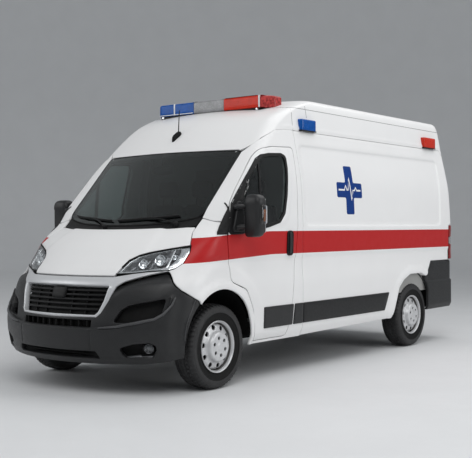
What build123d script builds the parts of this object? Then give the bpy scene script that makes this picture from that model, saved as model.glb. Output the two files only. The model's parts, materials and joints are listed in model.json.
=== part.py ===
"""High-roof panel-van ambulance, in millimetres.

Frame: the origin is on the ground under the middle of the vehicle, +X points to
the vehicle's left, +Y to its tail and +Z up.
"""
import math
import os

from build123d import *

os.makedirs("parts", exist_ok=True)

# ---- driving dimensions ------------------------------------------------------
LENGTH = 5413.0
WHEELBASE = 3450.0
FRONT_OVERHANG = 948.0
FRONT_AXLE_Y = FRONT_OVERHANG - LENGTH / 2
REAR_AXLE_Y = FRONT_AXLE_Y + WHEELBASE
BODY_REAR_Y = LENGTH / 2 - 52.0

SKIN = 14.0            # sheet panels: hood, fenders, bumper, door flanges, windshield
WALL = 50.0            # whole thickness of doors, side walls and roof
LINING = 54.0          # inset of what fits inside the walls
REAR_CORNER_R = 60.0   # rear corners in plan
GAP = 6.0              # shut line between panels
DOOR_FLANGE = 16.0     # how far a door's outer skin overlaps its inner shell
DOOR_INNER_X = 820.0   # doors stay outboard of the windshield

TYRE_R = 349.0
FRONT_WHEEL_X = 888.0
REAR_WHEEL_X = 880.0
ARCH_R = 412.0
ARCH_Z = 408.0
FLOOR_Z = 540.0
FLOOR_T = 30.0

# Level by level from the bottom: height, foremost y, half width, radius of the
# nose in plan, radius of the front corners in plan, rearmost y.
BODY_SECTIONS = [
    (240.0, -2608.5, 985.0, 1500.0, 480.0, BODY_REAR_Y),
    (540.0, -2673.5, 1016.0, 1500.0, 480.0, BODY_REAR_Y),
    (870.0, -2584.5, 1021.0, 1450.0, 430.0, BODY_REAR_Y),
    (1050.0, -2388.5, 1021.0, 1600.0, 340.0, BODY_REAR_Y),
    (1174.0, -2233.5, 1022.0, 1900.0, 250.0, BODY_REAR_Y),
    (1344.0, -1924.5, 1023.0, 2700.0, 110.0, BODY_REAR_Y),
    (1667.0, -1619.5, 1008.0, 3000.0, 95.0, BODY_REAR_Y - 6.0),
    (1990.0, -1314.5, 959.0, 2900.0, 130.0, BODY_REAR_Y - 18.0),
    (2190.0, -1085.5, 916.0, 2700.0, 220.0, BODY_REAR_Y - 28.0),
    (2325.0, -873.5, 888.0, 2600.0, 250.0, BODY_REAR_Y - 38.0),
    (2430.0, -632.5, 867.0, 2500.0, 260.0, BODY_REAR_Y - 50.0),
    (2500.0, -358.5, 810.0, 2500.0, 250.0, BODY_REAR_Y - 80.0),
    (2524.0, -74.5, 700.0, 2500.0, 200.0, BODY_REAR_Y - 150.0),
]
BASE_Z = 252.0         # lowest edge of the bumper skin
LEAN_Z = 1990.0        # above this the walls turn in towards the roof
ROOF_Z = BODY_SECTIONS[-1][0]

# Side-view outlines as (y, z), clockwise from the front.
DOOR_OUTLINE = [
    (-1669, 1250), (-1628, 879), (-1420, 805), (-1308, 610), (-1299, 350), (-805, 350),
    (-718, 682), (-638, 1320), (-610, 2056), (-1050, 2040), (-1200, 1962), (-1410, 1752),
    (-1598, 1528), (-1655, 1390),
]
DOOR_WINDOW = [
    (-1580, 1345), (-1590, 1500), (-1372, 1732), (-1180, 1905), (-1100, 1950), (-780, 1968),
    (-778, 1800), (-845, 1440), (-930, 1372), (-1080, 1345),
]
SLIDING_DOOR_OUTLINE = [(-515, 372), (-515, 2125), (700, 2125), (700, 372)]
ROOF_EDGE = [
    (-1900, 1990), (-1215, 1990), (-1028, 2118), (-838, 2205), (-600, 2221), (2520, 2221),
    (2570, 2165), (2900, 2165), (2900, 2700), (-1900, 2700),
]
REAR_ARCH = [(1136, 200), (1240, 500), (1310, 671), (1416, 750), (1560, 806), (1830, 806),
             (1965, 760), (2028, 600), (2022, 200)]
REAR_BUMPER_OUTLINE = [(2022, 380), (2028, 600), (1965, 760), (2100, 931), (2800, 931), (2800, 380)]

# Front-view outlines of the left half as (x, z).
LAMP_OUTLINE = [
    (477, 959), (488, 1010), (505, 1062), (560, 1100), (627, 1123), (769, 1153), (904, 1178),
    (921, 1127), (912, 1043), (874, 1001), (841, 988), (712, 980), (603, 965),
]
HOOD_EDGE = [(827, 1289), (804, 1330)]
HOOD_LIP_Z = 945.0
BUMPER_OUTLINE = [(-2800, 200), (-2800, 1000), (-2198, 1000), (-2188, 832), (-2040, 738), (-2040, 200)]
FENDER_OUTLINE = [(-2330, 1100), (-2330, 700), (-1700, 300), (-1290, 300), (-1290, 800),
                  (-1600, 1385), (-2050, 1385)]
CAB_SIDE_OUTLINE = [(-1850, 1391), (-1500, 1391), (-1290, 344), (-1290, 300), (-553, 320),
                    (-553, 2300), (-1850, 2300)]
BODY_SIDE_OUTLINE = [(-547, 322), (-547, 2300), (2800, 2300), (2800, 925), (2016, 925), (2016, 335)]
GRILLE_FRAME = [(0, 936), (481, 938), (540, 868), (504, 755), (457, 657), (427, 627), (0, 622)]
GRILLE_MOUTH = [(0, 868), (478, 864), (460, 754), (429, 663), (407, 646), (0, 645)]
HOOD_HALF = 800.0
COWL_R = 1850.0        # the cowl line is an arc in plan
COWL_CENTRE_Y = COWL_R - 1992.0
COWL_DEPTH = 62.0
WINDSHIELD_HALF = 805.0
WINDSHIELD_TOP = 2008.0

REAR_DOOR_HALF = 880.0
REAR_DOOR_Z = (482.0, 2155.0)
REAR_WINDOW = (465.0, 1640.0, 640.0, 600.0)      # centre x, centre z, width, height

TAIL_LAMP_Y = (2560.0, 2700.0)
TAIL_LAMP_Z = (940.0, 1340.0)
REAR_BUMPER_HALF = 1024.0
REAR_BUMPER_FRONT_Y = 1900.0
REAR_BUMPER_R = 110.0
REAR_BUMPER_T = 30.0
REAR_BUMPER_Z = (385.0, 931.0)
GRILLE_SLOTS = 4
GRILLE_SLOT_Z = 700.0
GRILLE_SLOT_H = 26.0
GRILLE_SLOT_W = 350.0
GRILLE_PITCH = 44.0
GRILLE_BADGE_HALF = 70.0
BUMPER_MOUTHS = [(553.0, 603.0, 402.0), (300.0, 372.0, 402.0)]   # low z, high z, half width
MIRROR_HEAD = ((1080.0, 1255.0), (-1540.0, -1410.0), (1250.0, 1598.0))   # x, y, z limits
MIRROR_HEAD_R = 24.0
MIRROR_FOOT = ((1030.0, 1056.0), (-1640.0, -1470.0), (1290.0, 1540.0))
MIRROR_ARM_Z = (1330.0, 1500.0)
MIRROR_ARM_AT = (1062.0, -1520.0)                # x, y
MIRROR_ARM_SIZE = (70.0, 50.0, 34.0)

FLOOR_FRONT_Y = -1290.0
BULKHEAD_Y = (-500.0, -470.0)
BULKHEAD_WINDOW_X = (-300.0, 300.0)
BULKHEAD_WINDOW_Z = (1500.0, 1900.0)
FIREWALL_OUTLINE = [(-1290, 541), (-1290, 878), (-1650, 878), (-1650, 1240), (-1635, 1240),
                    (-1635, 893), (-1275, 893), (-1275, 541)]
DASHBOARD_OUTLINE = [(-1840, 1300), (-1840, 1270), (-1634, 1250), (-1634, 920), (-1450, 920),
                     (-1340, 1080), (-1330, 1200), (-1400, 1262)]
FRONT_HOUSE_R = 450.0
FRONT_HOUSE_INNER_X = 590.0
REAR_HOUSE_R = 436.0
REAR_HOUSE_INNER_X = 634.0
HOUSE_Z = 400.0
HOUSE_T = 8.0
HOUSE_X = 800.0        # middle of the half-drums
HOUSE_LENGTH = 420.0
RAIL_X = 500.0
RAIL_HALF = 30.0
RAIL_Y = (-2440.0, 2560.0)
RAIL_Z = (400.0, 500.0)
CRASH_BEAM_HALF = 470.0
KNUCKLE_X = 846.0      # outer end of the suspension arms
SUBFRAME_Z = (236.0, 300.0)
SPRING_X = 590.0
SPRING_HALF = 600.0
SPRING_Z = (390.0, 414.0)
AXLE_TUBE_R = 45.0
ENGINE_BOX = ((-330.0, 330.0), (-2180.0, -1700.0), (420.0, 900.0))
RADIATOR_BOX = ((-400.0, 400.0), (-2420.0, -2370.0), (330.0, 860.0))
EXHAUST_AT = (-300.0, -250.0, 330.0)
EXHAUST_R = 30.0
EXHAUST_LENGTH = 3300.0
SILENCER_LENGTH = 700.0
TANK_BOX = ((60.0, 440.0), (-900.0, 0.0), (270.0, 395.0))
TANK_R = 40.0
RAIL_BEAMS_Y = (-1200.0, -300.0, 700.0, 2400.0)
HUB_R = 60.0
KINGPIN_X = 832.0
SEAT_X = 480.0
CUSHION_Y = (-1060.0, -560.0)
CUSHION_Z = (850.0, 985.0)
SEAT_BACK_OUTLINE = [(-700, 960), (-620, 1570), (-530, 1570), (-540, 960)]
HEADREST_HALF = 120.0
HEADREST_Y = (-625.0, -525.0)
HEADREST_Z = (1610.0, 1790.0)
STEERING_AT = (SEAT_X, -1250.0, 1190.0)
STEERING_R = 185.0
BAR_Z = (2415.0, 2455.0, 2560.0)                 # base bottom, lens bottom, lens top
BAR_OUTLINE = [(0, -665), (640, -665), (735, -530), (735, -420), (700, -395), (0, -395)]
BAR_FOOT = ((510.0, 610.0), (-600.0, -440.0), (2300.0, 2415.0))
BAR_CLEAR_HALF = 190.0
BEACON_X = (820.0, 944.0)
BLUE_BEACON = ((-440.0, -197.0), (2228.0, 2338.0))   # y, z limits
RED_BEACON = ((2100.0, 2380.0), (2230.0, 2352.0))
AERIAL_AT = (0.0, -1130.0, 2170.0)
VENTS = 10
VENT_R = 20.5
VENT_CIRCLE_R = 154.0
# Half sections of rim and tyre as (radius, offset towards the outside).
RIM_PROFILE = [(0, 86), (102, 86), (114, 56), (172, 46), (180, 30), (180, -96), (206, -106), (212, -106), (212, -100),
               (188, -92), (188, 92), (212, 100), (212, 106), (206, 106), (181, 96), (181, 62), (126, 72),
               (114, 101), (0, 101)]
TYRE_PROFILE = [(189, -86), (213, -96.5), (240, -107), (320, -102), (341, -92), (TYRE_R, -78), (TYRE_R, 78),
                (341, 92), (320, 102), (240, 107), (213, 96.5), (189, 86)]


def plan_outline(front_y, half_width, front_r, corner_r, rear_y):
    """Draw one body section: nose arc, corner arcs, sides and tail, as one wire."""
    centre_y = front_y + front_r
    corner_x = half_width - corner_r
    corner_y = centre_y - math.sqrt((front_r - corner_r) ** 2 - corner_x ** 2)
    join_x = front_r * corner_x / (front_r - corner_r)
    join_y = centre_y - math.sqrt(front_r ** 2 - join_x ** 2)
    join_angle = math.atan2(join_y - corner_y, join_x - corner_x)
    mid_x = corner_x + corner_r * math.cos(join_angle / 2)
    mid_y = corner_y + corner_r * math.sin(join_angle / 2)
    tail_r = REAR_CORNER_R
    tail_mid = tail_r * (1 - math.sqrt(0.5))
    ThreePointArc((-join_x, join_y), (0, front_y), (join_x, join_y))
    ThreePointArc((join_x, join_y), (mid_x, mid_y), (half_width, corner_y))
    Line((half_width, corner_y), (half_width, rear_y - tail_r))
    ThreePointArc((half_width, rear_y - tail_r), (half_width - tail_mid, rear_y - tail_mid),
                  (half_width - tail_r, rear_y))
    Line((half_width - tail_r, rear_y), (tail_r - half_width, rear_y))
    ThreePointArc((tail_r - half_width, rear_y), (tail_mid - half_width, rear_y - tail_mid),
                  (-half_width, rear_y - tail_r))
    Line((-half_width, rear_y - tail_r), (-half_width, corner_y))
    ThreePointArc((-half_width, corner_y), (-mid_x, mid_y), (-join_x, join_y))


def body_solid(inset, base_drop=0.0):
    """Closed solid of the body's outer form, set inwards by inset."""
    with BuildPart(mode=Mode.PRIVATE) as solid:
        for z, front_y, half_width, front_r, corner_r, rear_y in BODY_SECTIONS:
            lean = max(0.0, (z - LEAN_Z) / (ROOF_Z - LEAN_Z))
            level = z - inset * lean
            if z == BODY_SECTIONS[0][0]:
                level -= base_drop
            with BuildSketch(Plane.XY.offset(level)):
                with BuildLine():
                    plan_outline(front_y + inset, half_width - inset, front_r - inset,
                                 corner_r - inset, rear_y - inset)
                make_face()
        loft()
    return solid.part


def side_prism(points, x_from=0.0, x_to=1200.0, corner=0.0, grow=0.0):
    """Prism across X over a side-view outline, its corners rounded, then grown."""
    with BuildPart(mode=Mode.PRIVATE) as prism:
        with BuildSketch(Plane.YZ.offset(x_from)) as face:
            with BuildLine():
                Polyline(*points, close=True)
            make_face()
            if corner:
                fillet(face.vertices(), corner)
            if grow:
                offset(amount=grow)
        extrude(amount=x_to - x_from, dir=(1, 0, 0))
    return prism.part


def front_prism(points, y_front=-2800.0, y_rear=-1500.0, grow=0.0, both=True):
    """Prism along Y over a front-view outline of the left half, mirrored to the right."""
    with BuildPart(mode=Mode.PRIVATE) as prism:
        with BuildSketch(Plane.XZ.offset(-y_rear)):
            with BuildLine():
                Polyline(*points, close=True)
            make_face()
            if grow:
                offset(amount=grow)
        extrude(amount=y_rear - y_front, dir=(0, -1, 0))
        if both:
            mirror(about=Plane.YZ)
    return prism.part


def box_between(x, y, z):
    """Block given by its limits along each axis."""
    with BuildPart(mode=Mode.PRIVATE) as block:
        with Locations((sum(x) / 2, sum(y) / 2, sum(z) / 2)):
            Box(x[1] - x[0], y[1] - y[0], z[1] - z[0])
    return block.part


def mirrored(shape):
    """The same shape on the vehicle's other side."""
    return mirror(shape, about=Plane.YZ, mode=Mode.PRIVATE)


def finish(shape, node):
    """Label a finished piece and write its STEP file."""
    shape.label = node
    export_step(shape, f"parts/{node}.step")


# ---- master skins ------------------------------------------------------------
outer = body_solid(0.0)
above_base = box_between((-1200, 1200), (-2900, 2900), (BASE_Z, 2600))
with BuildPart() as sheet:
    add(outer)
    add(body_solid(SKIN, 30.0), mode=Mode.SUBTRACT)
    add(above_base, mode=Mode.INTERSECT)
with BuildPart() as walls:
    add(outer)
    add(body_solid(WALL, 30.0), mode=Mode.SUBTRACT)
    add(above_base, mode=Mode.INTERSECT)
lining = body_solid(LINING)

front_arch = side_prism(
    [(FRONT_AXLE_Y - ARCH_R, 100), (FRONT_AXLE_Y - ARCH_R, ARCH_Z), (FRONT_AXLE_Y + ARCH_R, ARCH_Z),
     (FRONT_AXLE_Y + ARCH_R, 100)], -1200, 1200)
with BuildPart() as front_arches:
    add(front_arch)
    with BuildSketch(Plane.YZ.offset(-1200)):
        with Locations((FRONT_AXLE_Y, ARCH_Z)):
            Circle(ARCH_R)
    extrude(amount=2400)
rear_arches = side_prism(REAR_ARCH, -1200, 1200)
rear_bumper_zone = side_prism(REAR_BUMPER_OUTLINE, -1200, 1200)
rear_bumper_clear = side_prism(REAR_BUMPER_OUTLINE, -1200, 1200, grow=GAP)
roof_zone = side_prism(ROOF_EDGE, -1200, 1200)
roof_clear = side_prism(ROOF_EDGE, -1200, 1200, grow=GAP / 2)
sliding_zone = side_prism(SLIDING_DOOR_OUTLINE, -1200, 0, corner=60)
sliding_clear = side_prism(SLIDING_DOOR_OUTLINE, -1200, 0, corner=60, grow=GAP)
door_zone = side_prism(DOOR_OUTLINE, DOOR_INNER_X, 1200, corner=35)
door_clear = side_prism(DOOR_OUTLINE, DOOR_INNER_X, 1200, corner=35, grow=GAP + 2)
door_inner_zone = side_prism(DOOR_OUTLINE, DOOR_INNER_X, 1200, corner=35, grow=-DOOR_FLANGE)
door_window = side_prism(DOOR_WINDOW, DOOR_INNER_X, 1200, corner=25)
door_pane = side_prism(DOOR_WINDOW, DOOR_INNER_X, 1200, corner=25, grow=-2)

hood_top = ([(0, HOOD_LIP_Z), (477, HOOD_LIP_Z)] + LAMP_OUTLINE[:7] + HOOD_EDGE
            + [(HOOD_HALF, 1345), (HOOD_HALF, 1500), (0, 1500)])
hood_zone = front_prism(hood_top, y_rear=-1780)
hood_clear = front_prism(hood_top, y_rear=-1780, grow=GAP)
lamp_zone = front_prism(LAMP_OUTLINE, y_rear=-1990)
lamp_clear = front_prism(LAMP_OUTLINE, y_rear=-1990, grow=3)
windshield_outline = [(0, 1300), (WINDSHIELD_HALF, 1300), (WINDSHIELD_HALF, WINDSHIELD_TOP - 12),
                      (0, WINDSHIELD_TOP + 8)]
windshield_zone = front_prism(windshield_outline, y_rear=-900)
windshield_clear = front_prism(windshield_outline, y_rear=-900, grow=3)


def cowl_arc(inset):
    """Upright cylinder behind the cowl line, set back by inset."""
    with BuildPart(mode=Mode.PRIVATE) as drum:
        with Locations((0, COWL_CENTRE_Y, 1300)):
            Cylinder(COWL_R - inset, 1600)
    return drum.part


behind_hood = cowl_arc(0)
cowl_front = cowl_arc(GAP)
cowl_rear = cowl_arc(GAP + COWL_DEPTH)
glass_foot = cowl_arc(GAP + COWL_DEPTH + 3)

# ---- nose --------------------------------------------------------------------
with BuildPart() as hood:
    add(sheet.part)
    add(hood_zone, mode=Mode.INTERSECT)
    add(behind_hood, mode=Mode.SUBTRACT)
finish(hood.part, "hood")

with BuildPart() as cowl:
    add(sheet.part)
    add(windshield_zone, mode=Mode.INTERSECT)
    add(cowl_front, mode=Mode.INTERSECT)
    add(cowl_rear, mode=Mode.SUBTRACT)
finish(cowl.part, "cowl")

with BuildPart() as windshield:
    add(sheet.part)
    add(windshield_zone, mode=Mode.INTERSECT)
    add(glass_foot, mode=Mode.INTERSECT)
finish(windshield.part, "windshield")

grille_frame_zone = front_prism(GRILLE_FRAME)
grille_frame_clear = front_prism(GRILLE_FRAME, grow=2)
grille_mouth = front_prism(GRILLE_MOUTH)
with BuildPart() as grille_frame:
    add(sheet.part)
    add(grille_frame_zone, mode=Mode.INTERSECT)
    add(grille_mouth, mode=Mode.SUBTRACT)
finish(grille_frame.part, "grille_frame")

with BuildPart() as grille:
    add(walls.part)
    add(front_prism(GRILLE_MOUTH, grow=-2), mode=Mode.INTERSECT)
    for slot in range(GRILLE_SLOTS):
        slot_z = GRILLE_SLOT_Z + slot * GRILLE_PITCH
        for side in (-1, 1):
            with Locations((side * (GRILLE_BADGE_HALF + GRILLE_SLOT_W / 2), -2600, slot_z)):
                Box(GRILLE_SLOT_W, 400, GRILLE_SLOT_H, mode=Mode.SUBTRACT)
finish(grille.part, "grille")

with BuildPart() as front_bumper:
    add(sheet.part)
    add(side_prism(BUMPER_OUTLINE, -1200, 1200), mode=Mode.INTERSECT)
    for cut in (hood_clear, lamp_clear, grille_frame_clear, front_arches.part):
        add(cut, mode=Mode.SUBTRACT)
    for low, high, half_width in BUMPER_MOUTHS:
        with Locations((0, -2600, (low + high) / 2)):
            Box(2 * half_width, 600, high - low, mode=Mode.SUBTRACT)
finish(front_bumper.part, "front_bumper")

with BuildPart() as front_lamps:
    add(walls.part)
    add(lamp_zone, mode=Mode.INTERSECT)
finish(front_lamps.part, "front_lamps")

bumper_clear = side_prism(BUMPER_OUTLINE, 0, 1200, grow=3)
cab_side_clear = side_prism(CAB_SIDE_OUTLINE, 600, 1200, grow=2)
with BuildPart() as fenders:
    add(sheet.part)
    add(side_prism(FENDER_OUTLINE, 700, 1200), mode=Mode.INTERSECT)
    for cut in (hood_clear, lamp_clear, windshield_clear, door_clear, front_arches.part, bumper_clear,
                cab_side_clear):
        add(cut, mode=Mode.SUBTRACT)
    mirror(about=Plane.YZ)
finish(fenders.part, "fenders")

# ---- cab and body shell ------------------------------------------------------
with BuildPart() as cab_sides:
    add(walls.part)
    add(side_prism(CAB_SIDE_OUTLINE, 600, 1200), mode=Mode.INTERSECT)
    for cut in (roof_clear, door_clear, windshield_clear, hood_clear):
        add(cut, mode=Mode.SUBTRACT)
    mirror(about=Plane.YZ)
finish(cab_sides.part, "cab_sides")

with BuildPart() as roof:
    add(walls.part)
    add(roof_zone, mode=Mode.INTERSECT)
    add(windshield_clear, mode=Mode.SUBTRACT)
finish(roof.part, "roof")

rear_opening = box_between((-REAR_DOOR_HALF - GAP, REAR_DOOR_HALF + GAP), (2560, 2800),
                           (300, REAR_DOOR_Z[1] + GAP))
tail_lamp_zone = box_between((REAR_DOOR_HALF + GAP + 2, 1100), TAIL_LAMP_Y, TAIL_LAMP_Z)
tail_lamp_clear = box_between((REAR_DOOR_HALF, 1100), (TAIL_LAMP_Y[0] - 2, 2800),
                              (TAIL_LAMP_Z[0] - 2, TAIL_LAMP_Z[1] + 2))
with BuildPart() as body_side_left:
    add(walls.part)
    add(side_prism(BODY_SIDE_OUTLINE, 600, 1200), mode=Mode.INTERSECT)
    for cut in (roof_clear, rear_arches, rear_bumper_clear, rear_opening, tail_lamp_clear):
        add(cut, mode=Mode.SUBTRACT)
finish(body_side_left.part, "body_side_left")

with BuildPart() as body_side_right:
    add(mirrored(body_side_left.part))
    add(sliding_clear, mode=Mode.SUBTRACT)
finish(body_side_right.part, "body_side_right")

with BuildPart() as sliding_side_door:
    add(walls.part)
    add(sliding_zone, mode=Mode.INTERSECT)
finish(sliding_side_door.part, "sliding_side_door")

with BuildPart() as tail_lamps:
    add(walls.part)
    add(tail_lamp_zone, mode=Mode.INTERSECT)
    mirror(about=Plane.YZ)
finish(tail_lamps.part, "tail_lamps")

with BuildPart() as rear_bumper:
    with BuildSketch(Plane.XY.offset(REAR_BUMPER_Z[0])) as plan:
        with Locations((0, REAR_BUMPER_FRONT_Y)):
            Rectangle(2 * REAR_BUMPER_HALF, LENGTH / 2 - REAR_BUMPER_FRONT_Y,
                      align=(Align.CENTER, Align.MIN))
        fillet(plan.vertices().group_by(Axis.Y)[-1], REAR_BUMPER_R)
        with Locations((0, REAR_BUMPER_FRONT_Y)):
            Rectangle(2 * (REAR_BUMPER_HALF - REAR_BUMPER_T), BODY_REAR_Y + 5 - REAR_BUMPER_FRONT_Y,
                      align=(Align.CENTER, Align.MIN), mode=Mode.SUBTRACT)
    extrude(amount=REAR_BUMPER_Z[1] - REAR_BUMPER_Z[0])
    add(rear_bumper_zone, mode=Mode.INTERSECT)
    add(box_between((-REAR_DOOR_HALF - 12, REAR_DOOR_HALF + 12), (2500, 2800),
                    (REAR_DOOR_Z[0] - 7, 1000)), mode=Mode.SUBTRACT)
finish(rear_bumper.part, "rear_bumper")

# ---- doors -------------------------------------------------------------------
with BuildPart() as front_door_left:
    add(walls.part)
    add(door_inner_zone, mode=Mode.INTERSECT)
with BuildPart() as front_door_skin:
    add(sheet.part)
    add(door_zone, mode=Mode.INTERSECT)
with front_door_left:
    add(front_door_skin.part)
    add(door_window, mode=Mode.SUBTRACT)
front_door_right = mirrored(front_door_left.part)
finish(front_door_left.part, "front_door_left")
finish(front_door_right, "front_door_right")

with BuildPart() as front_door_glass_left:
    add(sheet.part)
    add(door_pane, mode=Mode.INTERSECT)
front_door_glass_right = mirrored(front_door_glass_left.part)
finish(front_door_glass_left.part, "front_door_glass_left")
finish(front_door_glass_right, "front_door_glass_right")


def rear_panel(inset, width_from, width_to, source):
    """Left rear door's share of a skin, its outline set inwards by inset."""
    with BuildPart(mode=Mode.PRIVATE) as panel:
        add(source)
        add(box_between((width_from + inset, width_to - inset), (2560, 2800),
                        (REAR_DOOR_Z[0] + inset, REAR_DOOR_Z[1] - inset)), mode=Mode.INTERSECT)
    return panel.part


def rear_window(shrink):
    """Prism through the left rear door's window, set in by shrink."""
    centre_x, centre_z, width, height = REAR_WINDOW
    with BuildPart(mode=Mode.PRIVATE) as prism:
        with BuildSketch(Plane.XZ.offset(-2800)):
            with Locations((centre_x, centre_z)):
                RectangleRounded(width - 2 * shrink, height - 2 * shrink, 60 - shrink)
        extrude(amount=300)
    return prism.part


with BuildPart() as rear_door_left:
    add(rear_panel(DOOR_FLANGE, GAP / 2, REAR_DOOR_HALF, walls.part))
    add(rear_panel(0, GAP / 2, REAR_DOOR_HALF, sheet.part))
    add(rear_window(0), mode=Mode.SUBTRACT)
rear_door_right = mirrored(rear_door_left.part)
finish(rear_door_left.part, "rear_door_left")
finish(rear_door_right, "rear_door_right")

with BuildPart() as rear_door_glass_left:
    add(rear_panel(0, GAP / 2, REAR_DOOR_HALF, sheet.part))
    add(rear_window(2), mode=Mode.INTERSECT)
rear_door_glass_right = mirrored(rear_door_glass_left.part)
finish(rear_door_glass_left.part, "rear_door_glass_left")
finish(rear_door_glass_right, "rear_door_glass_right")

# ---- mirrors -----------------------------------------------------------------
with BuildPart() as mirror_left:
    add(box_between(*MIRROR_HEAD))
    fillet(mirror_left.edges(), MIRROR_HEAD_R)
    for arm_z in MIRROR_ARM_Z:
        with Locations((*MIRROR_ARM_AT, arm_z)):
            Box(*MIRROR_ARM_SIZE)
    add(box_between(*MIRROR_FOOT))
finish(mirror_left.part, "mirror_left")
finish(mirrored(mirror_left.part), "mirror_right")

# ---- floor, bulkhead and chassis ---------------------------------------------
with BuildPart() as floor:
    add(lining)
    add(box_between((-1100, 1100), (FLOOR_FRONT_Y, 2590), (FLOOR_Z - FLOOR_T, FLOOR_Z)),
        mode=Mode.INTERSECT)
    for side in (-1, 1):
        with Locations((side * (HOUSE_X + 20), REAR_AXLE_Y, HOUSE_Z)):
            Cylinder(REAR_HOUSE_R + 4, HOUSE_LENGTH - 20, rotation=(0, 90, 0), mode=Mode.SUBTRACT)
finish(floor.part, "floor")

with BuildPart() as bulkhead:
    add(lining)
    add(box_between((-1100, 1100), BULKHEAD_Y, (FLOOR_Z + 1, 2600)), mode=Mode.INTERSECT)
    add(box_between(BULKHEAD_WINDOW_X, (-900, 0), BULKHEAD_WINDOW_Z), mode=Mode.SUBTRACT)
finish(bulkhead.part, "bulkhead")

with BuildPart() as firewall:
    add(lining)
    add(side_prism(FIREWALL_OUTLINE, -1100, 1100), mode=Mode.INTERSECT)
finish(firewall.part, "firewall")


def wheel_house(centre_y, radius, inner_x, closed):
    """Left half-drum over a wheel, with a wall on its inner side if closed."""
    with BuildPart(mode=Mode.PRIVATE) as house:
        with Locations((HOUSE_X, centre_y, HOUSE_Z)):
            Cylinder(radius, HOUSE_LENGTH, rotation=(0, 90, 0))
            Cylinder(radius - HOUSE_T, HOUSE_LENGTH + 20, rotation=(0, 90, 0), mode=Mode.SUBTRACT)
        if closed:
            with Locations((inner_x - HOUSE_T / 2, centre_y, HOUSE_Z)):
                Cylinder(radius, HOUSE_T, rotation=(0, 90, 0))
        add(box_between((inner_x - HOUSE_T, 1000), (centre_y - radius - 100, centre_y + radius + 100),
                        (HOUSE_Z, HOUSE_Z + radius + 100)), mode=Mode.INTERSECT)
    return house.part


front_house = wheel_house(FRONT_AXLE_Y, FRONT_HOUSE_R, FRONT_HOUSE_INNER_X, False)
rear_house = wheel_house(REAR_AXLE_Y, REAR_HOUSE_R, REAR_HOUSE_INNER_X, True)
with BuildPart() as wheel_houses:
    for half_drum in (front_house, rear_house):
        add(half_drum)
        add(mirrored(half_drum))
    add(lining, mode=Mode.INTERSECT)
finish(wheel_houses.part, "wheel_houses")

with BuildPart() as chassis_rails:
    for side in (-1, 1):
        add(box_between((side * RAIL_X - RAIL_HALF, side * RAIL_X + RAIL_HALF), RAIL_Y, RAIL_Z))
    for beam_y in RAIL_BEAMS_Y:
        add(box_between((-RAIL_X, RAIL_X), (beam_y - RAIL_HALF, beam_y + RAIL_HALF),
                        (RAIL_Z[0] + 20, RAIL_Z[1] - 10)))
    add(box_between((-CRASH_BEAM_HALF, CRASH_BEAM_HALF), (RAIL_Y[0] - 40, RAIL_Y[0]), RAIL_Z))
finish(chassis_rails.part, "chassis_rails")

lower_arms = box_between((460, KNUCKLE_X), (FRONT_AXLE_Y - 36, FRONT_AXLE_Y + 36), (206, 237))
upper_arms = box_between((RAIL_X + RAIL_HALF, KNUCKLE_X), (FRONT_AXLE_Y - 30, FRONT_AXLE_Y + 30), (468, 490))
subframe_legs = box_between((RAIL_X - RAIL_HALF, RAIL_X + RAIL_HALF), (FRONT_AXLE_Y - 60, FRONT_AXLE_Y + 60),
                            (SUBFRAME_Z[0], RAIL_Z[0]))
with BuildPart() as front_subframe:
    add(box_between((-RAIL_X, RAIL_X), (FRONT_AXLE_Y - 110, FRONT_AXLE_Y + 110), SUBFRAME_Z))
    for member in (lower_arms, upper_arms, subframe_legs):
        add(member)
        add(mirrored(member))
finish(front_subframe.part, "front_subframe")

leaf_spring = box_between((SPRING_X - 32, SPRING_X + 32),
                          (REAR_AXLE_Y - SPRING_HALF, REAR_AXLE_Y + SPRING_HALF), SPRING_Z)
with BuildPart() as rear_axle:
    with Locations((0, REAR_AXLE_Y, TYRE_R)):
        Cylinder(AXLE_TUBE_R, 1640, rotation=(0, 90, 0))
    for side in (-1, 1):
        with Locations((side * 815, REAR_AXLE_Y, TYRE_R)):
            Cylinder(HUB_R, 90, rotation=(0, 90, 0))
        for end in (-SPRING_HALF, SPRING_HALF - 40):
            add(box_between((side * SPRING_X - 32, side * SPRING_X + 32),
                            (REAR_AXLE_Y + end, REAR_AXLE_Y + end + 40), (SPRING_Z[0], FLOOR_Z - FLOOR_T)))
    add(leaf_spring)
    add(mirrored(leaf_spring))
finish(rear_axle.part, "rear_axle")

with BuildPart() as engine_block:
    add(box_between(*ENGINE_BOX))
finish(engine_block.part, "engine_block")

with BuildPart() as radiator:
    add(box_between(*RADIATOR_BOX))
finish(radiator.part, "radiator")

with BuildPart() as exhaust:
    with Locations(EXHAUST_AT):
        Cylinder(EXHAUST_R, EXHAUST_LENGTH, rotation=(90, 0, 0))
        Cylinder(2 * EXHAUST_R, SILENCER_LENGTH, rotation=(90, 0, 0))
finish(exhaust.part, "exhaust")

with BuildPart() as fuel_tank:
    add(box_between(*TANK_BOX))
    fillet(fuel_tank.edges().filter_by(Axis.Y), TANK_R)
finish(fuel_tank.part, "fuel_tank")

# ---- cab fittings ------------------------------------------------------------
with BuildPart() as dashboard:
    add(lining)
    add(side_prism(DASHBOARD_OUTLINE, -1100, 1100), mode=Mode.INTERSECT)
finish(dashboard.part, "dashboard")

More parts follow.
